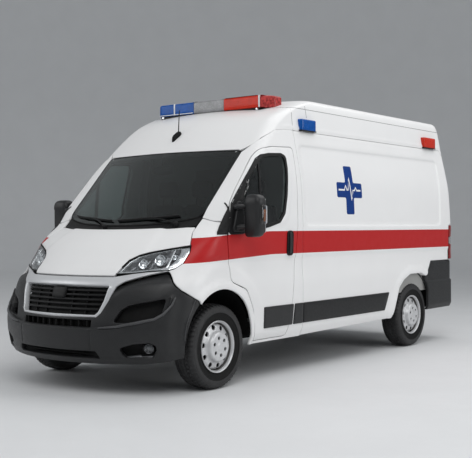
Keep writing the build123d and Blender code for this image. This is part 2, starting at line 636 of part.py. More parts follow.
wheel_plane = Plane(origin=STEERING_AT, x_dir=(1, 0, 0), z_dir=(0, 0.5, 0.866))
with BuildPart() as steering_wheel:
    with BuildSketch(Plane(origin=wheel_plane.origin + wheel_plane.x_dir * STEERING_R,
                           x_dir=wheel_plane.x_dir, z_dir=wheel_plane.y_dir)):
        Circle(15)
    revolve(axis=Axis(wheel_plane.origin, wheel_plane.z_dir))
    with BuildSketch(wheel_plane.offset(-12)):
        Circle(62)
        with PolarLocations(0, 3, start_angle=-90):
            with Locations((95, 0)):
                Rectangle(170, 26)
    extrude(amount=20)
    with BuildSketch(wheel_plane.offset(-130)):
        Circle(24)
    extrude(amount=120)
    add(dashboard.part, mode=Mode.SUBTRACT)
finish(steering_wheel.part, "steering_wheel")


def seat(centre_x, width, head_offsets):
    """Seat with its plinth, cushion, leaning back and one headrest per place."""
    low, high = centre_x - width / 2, centre_x + width / 2
    with BuildPart(mode=Mode.PRIVATE) as chair:
        add(box_between((low + 30, high - 30), (CUSHION_Y[0] + 60, CUSHION_Y[1]), (FLOOR_Z + 1, CUSHION_Z[0])))
        add(box_between((low, high), CUSHION_Y, CUSHION_Z))
        add(side_prism(SEAT_BACK_OUTLINE, low, high))
        for head_offset in head_offsets:
            head_x = centre_x + head_offset
            add(box_between((head_x - 25, head_x + 25), (-590, -560), (1560, 1640)))
            add(box_between((head_x - HEADREST_HALF, head_x + HEADREST_HALF), HEADREST_Y, HEADREST_Z))
    return chair.part


driver_seat = seat(SEAT_X, 500, (0,))
bench_seat = seat(-380, 900, (-215, 215))
with BuildPart() as seats:
    add(driver_seat)
    add(bench_seat)
finish(seats.part, "seats")

# ---- warning lamps and aerial ------------------------------------------------

def bar_block(low_z, high_z, x_from, x_to, inset=0.0):
    """Length of the lightbar's plan between two x, from one height to another."""
    with BuildPart(mode=Mode.PRIVATE) as block:
        with BuildSketch(Plane.XY.offset(low_z)):
            with BuildLine():
                Polyline(*BAR_OUTLINE, close=True)
            make_face()
            mirror(about=Plane.YZ)
            if inset:
                offset(amount=-inset)
        extrude(amount=high_z - low_z)
        add(box_between((x_from, x_to), (-700, -300), (low_z, high_z)), mode=Mode.INTERSECT)
    return block.part


bar_foot = box_between(*BAR_FOOT)
with BuildPart() as lightbar_base:
    add(bar_block(BAR_Z[0], BAR_Z[1], -800, 800, inset=18))
    add(bar_foot)
    add(mirrored(bar_foot))
    add(outer, mode=Mode.SUBTRACT)
finish(lightbar_base.part, "lightbar_base")

BAR_COLOURS = [("blue", -800, -BAR_CLEAR_HALF - 1), ("clear", 1 - BAR_CLEAR_HALF, BAR_CLEAR_HALF - 1),
               ("red", BAR_CLEAR_HALF + 1, 800)]
for colour, x_from, x_to in BAR_COLOURS:
    with BuildPart() as lens:
        add(bar_block(BAR_Z[1], BAR_Z[2], x_from, x_to))
        add(outer, mode=Mode.SUBTRACT)
    finish(lens.part, f"lightbar_{colour}")

for colour, limits in (("blue", BLUE_BEACON), ("red", RED_BEACON)):
    with BuildPart() as beacon:
        add(box_between(BEACON_X, *limits))
        add(outer, mode=Mode.SUBTRACT)
        mirror(about=Plane.YZ)
    finish(beacon.part, f"side_beacons_{colour}")

with BuildPart() as aerial:
    with Locations(AERIAL_AT):
        Cylinder(20, 90)
        with Locations((0, 0, 45)):
            Cylinder(5, 170, rotation=(-12, 0, 0), align=(Align.CENTER, Align.CENTER, Align.MIN))
    add(outer, mode=Mode.SUBTRACT)
finish(aerial.part, "aerial")

# ---- wheels and knuckles -----------------------------------------------------
for end, centre_x, centre_y in (("front", FRONT_WHEEL_X, FRONT_AXLE_Y), ("rear", REAR_WHEEL_X, REAR_AXLE_Y)):
    with BuildPart() as rim:
        with BuildSketch(Plane.XZ):
            with BuildLine():
                Polyline(*RIM_PROFILE, close=True)
            make_face()
        revolve(axis=Axis.Z)
        with BuildSketch(Plane.XY.offset(-20)):
            with PolarLocations(VENT_CIRCLE_R, VENTS):
                Circle(VENT_R)
        extrude(amount=100, mode=Mode.SUBTRACT)
    with BuildPart() as tyre:
        with BuildSketch(Plane.XZ):
            with BuildLine():
                Polyline(*TYRE_PROFILE, close=True)
            make_face()
        revolve(axis=Axis.Z)
    for side_name, side in (("left", 1), ("right", -1)):
        place = Plane(origin=(side * centre_x, centre_y, TYRE_R), x_dir=(0, 1, 0), z_dir=(side, 0, 0))
        finish(place.location * rim.part, f"rim_{end}_{side_name}")
        finish(place.location * tyre.part, f"tyre_{end}_{side_name}")

upright = box_between((800, 856), (FRONT_AXLE_Y - 45, FRONT_AXLE_Y + 45), (238, 467))
steering_arm = box_between((760, 800), (FRONT_AXLE_Y + 20, FRONT_AXLE_Y + 130), (300, 330))
with BuildPart() as knuckle_left:
    with Locations((KINGPIN_X, FRONT_AXLE_Y, TYRE_R)):
        Cylinder(HUB_R, 178, rotation=(0, 90, 0))
    add(upright)
    add(steering_arm)
finish(knuckle_left.part, "knuckle_left")
finish(mirrored(knuckle_left.part), "knuckle_right")
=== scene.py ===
"""Looks of a high-roof panel-van ambulance over its CAD frame, in metres.

+X is the vehicle's left, +Y its tail and +Z up. Painted panels are cut from one
body form, level by level; every other piece is built by its own class.
"""
from __future__ import annotations

import json
import logging
import math
from dataclasses import dataclass, field
from enum import Enum
from typing import Callable, Iterable, Sequence

import bpy
import numpy as np
from mathutils import Matrix, Vector
from mathutils.geometry import delaunay_2d_cdt

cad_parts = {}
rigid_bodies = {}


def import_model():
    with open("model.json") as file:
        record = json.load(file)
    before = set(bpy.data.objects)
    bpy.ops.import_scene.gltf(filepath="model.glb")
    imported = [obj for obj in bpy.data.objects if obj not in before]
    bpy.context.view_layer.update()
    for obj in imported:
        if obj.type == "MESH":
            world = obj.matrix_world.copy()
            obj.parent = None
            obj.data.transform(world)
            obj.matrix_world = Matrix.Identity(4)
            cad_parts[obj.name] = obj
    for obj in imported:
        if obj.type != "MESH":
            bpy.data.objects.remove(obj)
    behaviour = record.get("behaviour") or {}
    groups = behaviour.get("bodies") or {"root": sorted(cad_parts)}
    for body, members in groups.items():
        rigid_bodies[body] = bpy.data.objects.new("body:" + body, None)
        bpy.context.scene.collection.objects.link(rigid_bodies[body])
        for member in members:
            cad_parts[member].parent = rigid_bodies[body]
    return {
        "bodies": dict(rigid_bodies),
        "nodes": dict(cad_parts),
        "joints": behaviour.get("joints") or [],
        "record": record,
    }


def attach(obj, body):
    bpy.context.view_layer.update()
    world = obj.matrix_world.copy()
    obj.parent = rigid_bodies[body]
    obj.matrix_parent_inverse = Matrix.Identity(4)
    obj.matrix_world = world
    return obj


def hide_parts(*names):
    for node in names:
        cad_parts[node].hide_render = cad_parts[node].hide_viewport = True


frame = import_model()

logging.basicConfig(level=logging.INFO, format="%(message)s")
log = logging.getLogger("ambulance")

Loop = np.ndarray
Relief = Callable[[np.ndarray, np.ndarray], np.ndarray]
SIDES: tuple[tuple[str, int], ...] = (("left", 1), ("right", -1))


# ---- finishes ----------------------------------------------------------------
class Pattern(Enum):
    """Fine surface pattern of a finish."""

    NONE = "none"
    WEAVE = "weave"
    RIBS = "ribs"
    BRUSHED = "brushed"
    STRIPE = "stripe"


@dataclass(frozen=True)
class Finish:
    """One procedural surface finish.

    Attributes:
        name: material name.
        color: base colour, linear RGB.
        roughness: mean roughness.
        metallic: 0 for paint and plastic, 1 for bare metal.
        coat: weight of the clear coat.
        transmission: 1 for glass and lenses.
        grain: size of the bump's grain as cells per metre, and its strength.
        mottle: cells per metre of slow colour changes, and how much they change it.
        pattern: extra pattern over the grain.
        glow: strength of the finish's own light.
        shine: level of the surface reflection, 0.5 for common plastics.
    """

    name: str
    color: tuple[float, float, float]
    roughness: float = 0.5
    metallic: float = 0.0
    coat: float = 0.0
    transmission: float = 0.0
    grain: tuple[float, float] = (900.0, 0.05)
    mottle: tuple[float, float] = (6.0, 0.06)
    pattern: Pattern = Pattern.NONE
    glow: float = 0.0
    shine: float = 0.5

    def material(self) -> bpy.types.Material:
        """Return the finish's material, built on first use."""
        found = bpy.data.materials.get(self.name)
        return found if found else self._build()

    def _build(self) -> bpy.types.Material:
        """Build the node tree.

        Returns:
            The new material.
        """
        mat = bpy.data.materials.new(self.name)
        mat.use_nodes = True
        tree = mat.node_tree
        bsdf = tree.nodes["Principled BSDF"]
        bsdf.inputs["Metallic"].default_value = self.metallic
        bsdf.inputs["Coat Weight"].default_value = self.coat
        bsdf.inputs["Coat Roughness"].default_value = 0.25 if self.roughness > 0.3 else 0.06
        bsdf.inputs["Transmission Weight"].default_value = self.transmission
        bsdf.inputs["IOR"].default_value = 1.46
        bsdf.inputs["Specular IOR Level"].default_value = self.shine
        where = tree.nodes.new("ShaderNodeTexCoord").outputs["Object"]

        def noise(scale: float, detail: float = 3.0) -> bpy.types.NodeSocket:
            """Return a noise factor at the given scale."""
            node = tree.nodes.new("ShaderNodeTexNoise")
            node.inputs["Scale"].default_value = scale
            node.inputs["Detail"].default_value = detail
            tree.links.new(where, node.inputs["Vector"])
            return node.outputs["Fac"]

        def remap(value: bpy.types.NodeSocket, low: float, high: float) -> bpy.types.NodeSocket:
            """Return value from 0.3..0.7 mapped to low..high."""
            node = tree.nodes.new("ShaderNodeMapRange")
            node.inputs["From Min"].default_value = 0.3
            node.inputs["From Max"].default_value = 0.7
            node.inputs["To Min"].default_value = low
            node.inputs["To Max"].default_value = high
            tree.links.new(value, node.inputs["Value"])
            return node.outputs["Result"]

        slow = noise(self.mottle[0])
        mix = tree.nodes.new("ShaderNodeMix")
        mix.data_type = "RGBA"
        tree.links.new(remap(slow, 0.0, 1.0), mix.inputs["Factor"])
        dark = 1.0 - self.mottle[1]
        mix.inputs["A"].default_value = (*(c * dark for c in self.color), 1.0)
        mix.inputs["B"].default_value = (*self.color, 1.0)
        color = mix.outputs["Result"]
        if self.pattern is Pattern.STRIPE:
            color = self._stripe(tree, where, color)
        tree.links.new(color, bsdf.inputs["Base Color"])
        spread = 0.06 if self.transmission < 0.5 else 0.01
        rough = remap(noise(self.mottle[0] * 5.0), max(self.roughness - spread, 0.0),
                      self.roughness + spread)
        tree.links.new(rough, bsdf.inputs["Roughness"])
        if self.glow:
            tree.links.new(color, bsdf.inputs["Emission Color"])
            bsdf.inputs["Emission Strength"].default_value = self.glow
        height = noise(self.grain[0], 2.0)
        if self.pattern in (Pattern.WEAVE, Pattern.RIBS, Pattern.BRUSHED):
            height = self._waves(tree, where, height)
        bump = tree.nodes.new("ShaderNodeBump")
        bump.inputs["Strength"].default_value = self.grain[1]
        bump.inputs["Distance"].default_value = 0.002
        tree.links.new(height, bump.inputs["Height"])
        tree.links.new(bump.outputs["Normal"], bsdf.inputs["Normal"])
        return mat

    def _waves(self, tree: bpy.types.NodeTree, where: bpy.types.NodeSocket,
               height: bpy.types.NodeSocket) -> bpy.types.NodeSocket:
        """Add the pattern's waves to a bump height.

        Args:
            tree: node tree that is being built.
            where: object coordinates.
            height: height from the grain.

        Returns:
            The combined height.
        """
        directions = {Pattern.WEAVE: ("X", "Z"), Pattern.RIBS: ("X",),
                      Pattern.BRUSHED: ("Z",)}[self.pattern]
        scale = {Pattern.WEAVE: 150.0, Pattern.RIBS: 28.0, Pattern.BRUSHED: 260.0}[self.pattern]
        for direction in directions:
            wave = tree.nodes.new("ShaderNodeTexWave")
            wave.bands_direction = direction
            wave.inputs["Scale"].default_value = scale
            wave.inputs["Distortion"].default_value = 0.4
            tree.links.new(where, wave.inputs["Vector"])
            total = tree.nodes.new("ShaderNodeMath")
            total.operation = "ADD"
            tree.links.new(height, total.inputs[0])
            tree.links.new(wave.outputs["Fac"], total.inputs[1])
            height = total.outputs["Value"]
        return height

    @staticmethod
    def _stripe(tree: bpy.types.NodeTree, where: bpy.types.NodeSocket,
                color: bpy.types.NodeSocket) -> bpy.types.NodeSocket:
        """Lay the red waistline stripe over a colour.

        Args:
            tree: node tree that is being built.
            where: object coordinates.
            color: colour outside the stripe.

        Returns:
            The striped colour.
        """
        split = tree.nodes.new("ShaderNodeSeparateXYZ")
        tree.links.new(where, split.inputs["Vector"])

        def math_node(operation: str, first: bpy.types.NodeSocket, second: bpy.types.NodeSocket | float
                      ) -> bpy.types.NodeSocket:
            """Return the result of a two-input math node."""
            node = tree.nodes.new("ShaderNodeMath")
            node.operation = operation
            tree.links.new(first, node.inputs[0])
            if isinstance(second, float):
                node.inputs[1].default_value = second
            else:
                tree.links.new(second, node.inputs[1])
            return node.outputs["Value"]

        ahead = math_node("MAXIMUM", math_node("MULTIPLY", math_node("ADD", split.outputs["Y"],
                                                                     STRIPE_BEND_Y), -1.0),
                          0.0)
        low = math_node("ADD", split.outputs["Z"], math_node("MULTIPLY", ahead, 0.048))
        curve = math_node("MULTIPLY", math_node("ADD", math_node("MULTIPLY", ahead, 0.042), 0.020), ahead)
        high = math_node("ADD", split.outputs["Z"], curve)
        masks = [math_node("GREATER_THAN", low, STRIPE_Z[0]), math_node("LESS_THAN", high, STRIPE_Z[1])]
        both = tree.nodes.new("ShaderNodeMath")
        both.operation = "MULTIPLY"
        tree.links.new(masks[0], both.inputs[0])
        tree.links.new(masks[1], both.inputs[1])
        mix = tree.nodes.new("ShaderNodeMix")
        mix.data_type = "RGBA"
        tree.links.new(both.outputs["Value"], mix.inputs["Factor"])
        tree.links.new(color, mix.inputs["A"])
        mix.inputs["B"].default_value = (*STRIPE_RED, 1.0)
        return mix.outputs["Result"]


STRIPE_Z = (1.088, 1.291)
STRIPE_BEND_Y = 1.05
STRIPE_RED = (0.44, 0.010, 0.011)
WHITE = Finish("paint_white", (0.80, 0.80, 0.80), 0.38, coat=0.2, grain=(220.0, 0.004), mottle=(2.5, 0.02))
STRIPED = Finish("paint_striped", (0.80, 0.80, 0.80), 0.40,
                 coat=0.08, grain=(220.0, 0.004), mottle=(2.5, 0.02),
                 pattern=Pattern.STRIPE, shine=0.3)
BUMPER = Finish("bumper_plastic", (0.021, 0.0215, 0.0225),
                0.40, grain=(1500.0, 0.12), mottle=(9.0, 0.15), shine=0.35)
# Lighter bumper plastic for the ledge lips and crease beads: a painted highlight, not a different plastic.
BUMPER_PAINTED_HIGHLIGHT = Finish("bumper_painted_highlight", (0.060, 0.061, 0.064), 0.36, grain=(1500.0, 0.08), mottle=(9.0, 0.15))
MOULDING = Finish("moulding_plastic", (0.014, 0.0145, 0.015),
                  0.42, grain=(1500.0, 0.12), mottle=(9.0, 0.15), shine=0.3)
TRIM = Finish("black_trim", (0.008, 0.008, 0.0085), 0.5,
              grain=(1500.0, 0.12), mottle=(12.0, 0.2), shine=0.25)
SEALANT = Finish("joint_sealant", (0.26, 0.26, 0.265), 0.6,
                 grain=(900.0, 0.05), mottle=(6.0, 0.1), shine=0.3)
GLOSS_BLACK = Finish("gloss_black", (0.006, 0.006, 0.007),
                     0.18, coat=0.3, grain=(700.0, 0.01), mottle=(8.0, 0.2))
RUBBER = Finish("seal_rubber", (0.008, 0.008, 0.008), 0.68,
                grain=(1800.0, 0.2), mottle=(20.0, 0.25), shine=0.2)
TYRE = Finish("tyre_rubber", (0.024, 0.024, 0.025), 0.62, grain=(900.0, 0.3), mottle=(14.0, 0.35))
SILVER = Finish("silver_trim", (0.60, 0.61, 0.625), 0.36, metallic=0.35, coat=0.15, grain=(260.0, 0.006),
                mottle=(8.0, 0.04))
CHROME = Finish("reflector_chrome", (0.80, 0.81, 0.82), 0.10, metallic=1.0, grain=(500.0, 0.02))
MIRROR = Finish("mirror_glass", (0.85, 0.87, 0.88), 0.03,
                metallic=1.0, grain=(300.0, 0.002), mottle=(3.0, 0.02))
BARE = Finish("bare_metal", (0.30, 0.29, 0.28), 0.45, metallic=0.9, grain=(800.0, 0.1), mottle=(30.0, 0.3),
              pattern=Pattern.BRUSHED)
GLASS = Finish("tinted_glass", (0.24, 0.30, 0.29), 0.02,
               transmission=1.0, grain=(60.0, 0.002), mottle=(2.0, 0.02),
               shine=0.12)
SIDE_GLASS = Finish("side_glass", (0.42, 0.48, 0.47), 0.02,
                    transmission=1.0, grain=(60.0, 0.002), mottle=(2.0, 0.02),
                    shine=0.9)
DARK_GLASS = Finish("privacy_glass", (0.10, 0.12, 0.12), 0.03, transmission=1.0, grain=(60.0, 0.002))
CLEAR = Finish("clear_lens", (0.93, 0.95, 0.96), 0.02, transmission=1.0,
               grain=(80.0, 0.004), mottle=(4.0, 0.02))
BLUE_LENS = Finish("blue_lens", (0.0, 0.095, 0.42), 0.22, coat=0.08, transmission=0.15, grain=(60.0, 0.02),
                   mottle=(16.0, 0.20), shine=0.2)
RED_LENS = Finish("red_lens", (0.68, 0.030, 0.010), 0.22, coat=0.08, transmission=0.15, grain=(60.0, 0.02),
                  mottle=(16.0, 0.20), shine=0.2)
RED_FACETS = Finish("red_facets", (0.66, 0.075, 0.070), 0.22,
                    coat=0.1, transmission=0.15, grain=(110.0, 0.25),
                    mottle=(45.0, 0.70), shine=0.25)
TAIL_RED = Finish("tail_red", (0.36, 0.012, 0.012), 0.12, coat=0.5, transmission=0.4, grain=(60.0, 0.02),
                  pattern=Pattern.RIBS)
AMBER_LENS = Finish("amber_lens", (0.80, 0.20, 0.02), 0.12, coat=0.5, transmission=0.6, grain=(60.0, 0.03),
                    pattern=Pattern.RIBS)
GREY_LENS = Finish("grey_lens", (0.34, 0.345, 0.355), 0.24, coat=0.1, transmission=0.15, grain=(60.0, 0.02),
                   mottle=(22.0, 0.25))
DECAL_BLUE = Finish("decal_blue", (0.002, 0.036, 0.20), 0.4,
                    coat=0.05, grain=(1400.0, 0.01), mottle=(5.0, 0.05), shine=0.2)
DECAL_WHITE = Finish("decal_white", (0.80, 0.80, 0.80), 0.35,
                     coat=0.2, grain=(1400.0, 0.01), mottle=(5.0, 0.02))
FABRIC = Finish("seat_fabric", (0.045, 0.047, 0.052), 0.9, grain=(1200.0, 0.35), mottle=(40.0, 0.3),
                pattern=Pattern.WEAVE)
INTERIOR = Finish("cab_plastic", (0.028, 0.029, 0.031), 0.6, grain=(1300.0, 0.25), mottle=(10.0, 0.15))
LINER = Finish("liner_board", (0.34, 0.34, 0.33), 0.75, grain=(700.0, 0.15), mottle=(5.0, 0.1))
MAT_FLOOR = Finish("floor_vinyl", (0.13, 0.135, 0.14), 0.7, grain=(420.0, 0.3), mottle=(60.0, 0.35))
UNDERSEAL = Finish("underseal", (0.006, 0.006, 0.006), 0.8,
                   grain=(500.0, 0.3), mottle=(12.0, 0.3), shine=0.15)
CAST = Finish("cast_metal", (0.16, 0.155, 0.15), 0.6, metallic=0.7,
              grain=(320.0, 0.35), mottle=(12.0, 0.35))


# ---- meshes ------------------------------------------------------------------
def solid(name: str, verts: Sequence[Sequence[float]] | np.ndarray, faces: Iterable[Sequence[int]],
          finish: Finish, body: str = "body", sharp: float = 38.0) -> bpy.types.Object:
    """Make a smooth-shaded mesh object that rides on a CAD body.

    Args:
        name: object name.
        verts: vertex positions.
        faces: vertex indices of each face, counter-clockwise from outside.
        finish: surface finish.
        body: CAD body that it moves with.
        sharp: edges that bend more than this many degrees stay crisp.

    Returns:
        The new object.
    """
    mesh = bpy.data.meshes.new(name)
    mesh.from_pydata(np.asarray(verts, float).tolist(), [], [list(map(int, f)) for f in faces])
    mesh.validate()
    mesh.shade_smooth()
    mesh.set_sharp_from_angle(angle=math.radians(sharp))
    mesh.materials.append(finish.material())
    obj = bpy.data.objects.new(name, mesh)
    bpy.context.scene.collection.objects.link(obj)
    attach(obj, body)
    log.info("%s: %d vertices on %s", name, len(mesh.vertices), body)
    return obj


def stands_for(obj: bpy.types.Object, slot: str, *nodes: str) -> bpy.types.Object:
    """Let obj replace CAD nodes.

    Args:
        obj: the visual piece.
        slot: material slot of the record; not used.
        nodes: CAD nodes it replaces.

    Returns:
        The same object.
    """
    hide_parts(*nodes)
    return obj


def strip_faces(starts: Sequence[int], count: int, closed: bool,
                flip: bool = False) -> list[tuple[int, ...]]:
    """Quads between successive rows of equal length.

    Args:
        starts: index of each row's first vertex.
        count: vertices in a row.
        closed: whether each row joins its own start.
        flip: turn the faces over.

    Returns:
        The faces.
    """
    faces = []
    span = count if closed else count - 1
    for low, high in zip(starts[:-1], starts[1:]):
        for i in range(span):
            j = (i + 1) % count
            quad = (low + i, low + j, high + j, high + i)
            faces.append(quad[::-1] if flip else quad)
    return faces


def merged(parts: Sequence[tuple[np.ndarray, list[tuple[int, ...]]]]) -> tuple[np.ndarray,
                                                                               list[tuple[int, ...]]]:
    """Join several (vertices, faces) pairs into one."""
    verts, faces, base = [], [], 0
    for points, polys in parts:
        verts.append(np.asarray(points, float).reshape(-1, 3))
        faces.extend(tuple(i + base for i in poly) for poly in polys)
        base += len(verts[-1])
    return np.vstack(verts), faces


def lathe(profile: Sequence[tuple[float, float]], centre: Sequence[float], axis: Sequence[float],
          segments: int = 48) -> tuple[np.ndarray, list[tuple[int, ...]]]:
    """Turn a profile round an axis.

    Args:
        profile: (radius, distance along the axis) rows; a radius of 0 closes an end.
        centre: point on the axis where the distance is 0.
        axis: direction of the axis.
        segments: facets round.

    Returns:
        Vertices and faces.
    """
    spin = Vector((0, 0, 1)).rotation_difference(Vector(axis).normalized()).to_matrix()
    angles = np.arange(segments) * 2 * math.pi / segments
    rows = [np.stack([r * np.cos(angles), r * np.sin(angles), np.full(segments, h)], axis=1)
            for r, h in ((max(r, 1e-5), h) for r, h in profile)]
    verts = np.vstack(rows) @ np.array(spin).T + np.array(centre, float)
    return verts, strip_faces([i * segments for i in range(len(rows))], segments, True)


def tube(path: Sequence[Sequence[float]], radius: float | Sequence[float], segments: int = 12,
         flat: float = 1.0) -> tuple[np.ndarray, list[tuple[int, ...]]]:
    """Sweep a round or flattened section along a path, with closed, rounded ends.

    Args:
        path: points along the middle.
        radius: one radius, or one for each point.
        segments: facets round.
        flat: height of the section against its width.

    Returns:
        Vertices and faces.
    """
    pts = np.asarray(path, float)
    radii = np.broadcast_to(np.asarray(radius, float), (len(pts),)).copy()
    ends = []
    for end, other in ((0, 1), (-1, -2)):
        away = pts[end] - pts[other]
        away /= np.linalg.norm(away)
        ends.append((pts[end] + away * radii[end] * 0.6, pts[end] + away * radii[end] * 0.35))
    pts = np.vstack([ends[0][0], ends[0][1], pts, ends[1][1], ends[1][0]])
    radii = np.concatenate([[1e-4, radii[0] * 0.75], radii, [radii[-1] * 0.75, 1e-4]])
    along = np.gradient(pts, axis=0)
    along /= np.linalg.norm(along, axis=1)[:, None]
    up = np.array([0.0, 0.0, 1.0]) if abs(along[:, 2]).mean() < 0.8 else np.array([1.0, 0.0, 0.0])
    rows = []
    for point, way, r in zip(pts, along, radii):
        side = np.cross(way, up)
        side /= np.linalg.norm(side)
        top = np.cross(side, way)
        angles = np.arange(segments) * 2 * math.pi / segments
        rows.append(point + np.outer(np.cos(angles) * r, side) + np.outer(np.sin(angles) * r * flat, top))
    starts = [i * segments for i in range(len(rows))]
    return np.vstack(rows), strip_faces(starts, segments, True, flip=True)


def pillow(size: Sequence[float], centre: Sequence[float], radius: float, turn: Matrix | None = None,
           crown: float = 0.0, steps: int = 6) -> tuple[np.ndarray, list[tuple[int, ...]]]:
    """Block with rounded edges and, if asked, crowned faces.

    Args:
        size: full size along its own axes.
        centre: where its middle goes.
        radius: edge radius.
        turn: rotation of its axes.
        crown: how far each face swells at its middle.
        steps: facets across each face.

    Returns:
        Vertices and faces.
    """
    half = np.asarray(size, float) / 2
    radius = min(radius, float(half.min()) * 0.98)
    core = half - radius
    t = np.sin(np.linspace(-math.pi / 2, math.pi / 2, steps + 1))
    parts = []
    for axis in range(3):
        for sign in (-1, 1):
            a, b = (axis + 1) % 3, (axis + 2) % 3
            grid = np.zeros((steps + 1, steps + 1, 3))
            grid[..., axis] = sign
            grid[..., a] = t[:, None]
            grid[..., b] = t[None, :]
            unit = grid * half
            inner = np.clip(unit, -core, core)
            out = unit - inner
            length = np.linalg.norm(out, axis=2, keepdims=True)
            point = inner + out / np.maximum(length, 1e-9) * radius
            swell = crown * (1 - (point[..., a] / half[a]) ** 2) * (1 - (point[..., b] / half[b]) ** 2)
            point[..., axis] += sign * np.maximum(swell, 0)
            starts = [i * (steps + 1) for i in range(steps + 1)]
            parts.append((point.reshape(-1, 3), strip_faces(starts, steps + 1, False, flip=sign > 0)))
    verts, faces = merged(parts)
    key, index, inverse = np.unique(np.round(verts, 6), axis=0, return_index=True, return_inverse=True)
    faces = [tuple(int(inverse.ravel()[i]) for i in f) for f in faces]
    faces = [f for f in faces if len(set(f)) == 4]
    verts = verts[index]
    if turn is not None:
        verts = verts @ np.array(turn.to_3x3()).T
    return verts + np.asarray(centre, float), faces


# ---- outlines ----------------------------------------------------------------
def rounded(points: Sequence[Sequence[float]], radius: float | Sequence[float] = 0.02,
            spacing: float = 0.018) -> Loop:
    """Round a closed outline's corners and space its points evenly.

    Args:
        points: corners, either way round.
        radius: one corner radius or one for each corner.
        spacing: longest gap between points.

    Returns:
        The outline as an (n, 2) array, counter-clockwise.
    """
    pts = np.asarray(points, float)
    radii = np.broadcast_to(np.asarray(radius, float), (len(pts),)).copy()
    area = np.sum(pts[:, 0] * np.roll(pts[:, 1], -1) - np.roll(pts[:, 0], -1) * pts[:, 1])
    if area < 0:
        pts, radii = pts[::-1], radii[::-1]
    made: list[np.ndarray] = []
    for i, corner in enumerate(pts):
        before, after = pts[i - 1] - corner, pts[(i + 1) % len(pts)] - corner
        lb, la = np.linalg.norm(before), np.linalg.norm(after)
        before, after = before / lb, after / la
        turn = math.pi - math.acos(float(np.clip(before @ after, -1, 1)))
        reach = min(radii[i] * math.tan(turn / 2), 0.46 * lb, 0.46 * la)
        if reach < 2e-4 or turn < 0.02:
            made.append(corner[None])
            continue
        steps = max(2, int(math.ceil(turn / 0.2)))
        t = np.linspace(0, 1, steps + 1)[:, None]
        start, end = corner + before * reach, corner + after * reach
        made.append((1 - t) ** 2 * start + 2 * t * (1 - t) * corner + t ** 2 * end)
    loop = np.vstack(made)
    dense: list[np.ndarray] = []
    for a, b in zip(loop, np.roll(loop, -1, axis=0)):
        count = max(1, int(math.ceil(np.linalg.norm(b - a) / spacing)))
        dense.append(a + (b - a) * np.linspace(0, 1, count, endpoint=False)[:, None])
    loop = np.vstack(dense)
    keep = np.linalg.norm(loop - np.roll(loop, 1, axis=0), axis=1) > 4e-4
    return loop[keep]


def grow(loop: Loop, distance: float) -> Loop:
    """Offset a counter-clockwise outline outwards, or inwards if negative."""
    back, ahead = loop - np.roll(loop, 1, axis=0), np.roll(loop, -1, axis=0) - loop
    back /= np.linalg.norm(back, axis=1)[:, None]
    ahead /= np.linalg.norm(ahead, axis=1)[:, None]
    normal = np.stack([back[:, 1] + ahead[:, 1], -back[:, 0] - ahead[:, 0]], axis=1)
    length = np.linalg.norm(normal, axis=1)[:, None]
    return loop + normal / np.maximum(length, 0.6) * distance * 2 / np.maximum(length, 1.2)


def inside(points: np.ndarray, loop: Loop) -> np.ndarray:
    """Tell which points lie within an outline."""
    x, y = points[:, 0][:, None], points[:, 1][:, None]
    x0, y0 = loop[:, 0][None], loop[:, 1][None]
    x1, y1 = np.roll(loop[:, 0], -1)[None], np.roll(loop[:, 1], -1)[None]
    crosses = (y0 > y) != (y1 > y)
    at = x0 + (y - y0) * (x1 - x0) / np.where(y1 == y0, 1e-12, y1 - y0)
    return (crosses & (x < at)).sum(axis=1) % 2 == 1


def distance(points: np.ndarray, line: np.ndarray, closed: bool = True) -> np.ndarray:
    """Distance of each point from a polyline."""
    best = np.full(len(points), 1e9)
    ends = np.roll(line, -1, axis=0) if closed else line[1:]
    starts = line if closed else line[:-1]
    for chunk in range(0, len(starts), 64):
        a, b = starts[chunk:chunk + 64], ends[chunk:chunk + 64]
        d = b - a
        t = ((points[:, None] - a) * d).sum(axis=2) / np.maximum((d * d).sum(axis=1), 1e-12)
        foot = a + np.clip(t, 0, 1)[..., None] * d
        best = np.minimum(best, np.linalg.norm(points[:, None] - foot, axis=2).min(axis=1))
    return best


def depth_in(points: np.ndarray, loop: Loop) -> np.ndarray:
    """Signed distance from an outline, positive inside."""
    return np.where(inside(points, loop), 1.0, -1.0) * distance(points, loop)


def ease(value: np.ndarray, low: float, high: float) -> np.ndarray:
    """Smooth step from 0 at low to 1 at high."""
    t = np.clip((value - low) / (high - low), 0, 1)
    return t * t * (3 - 2 * t)


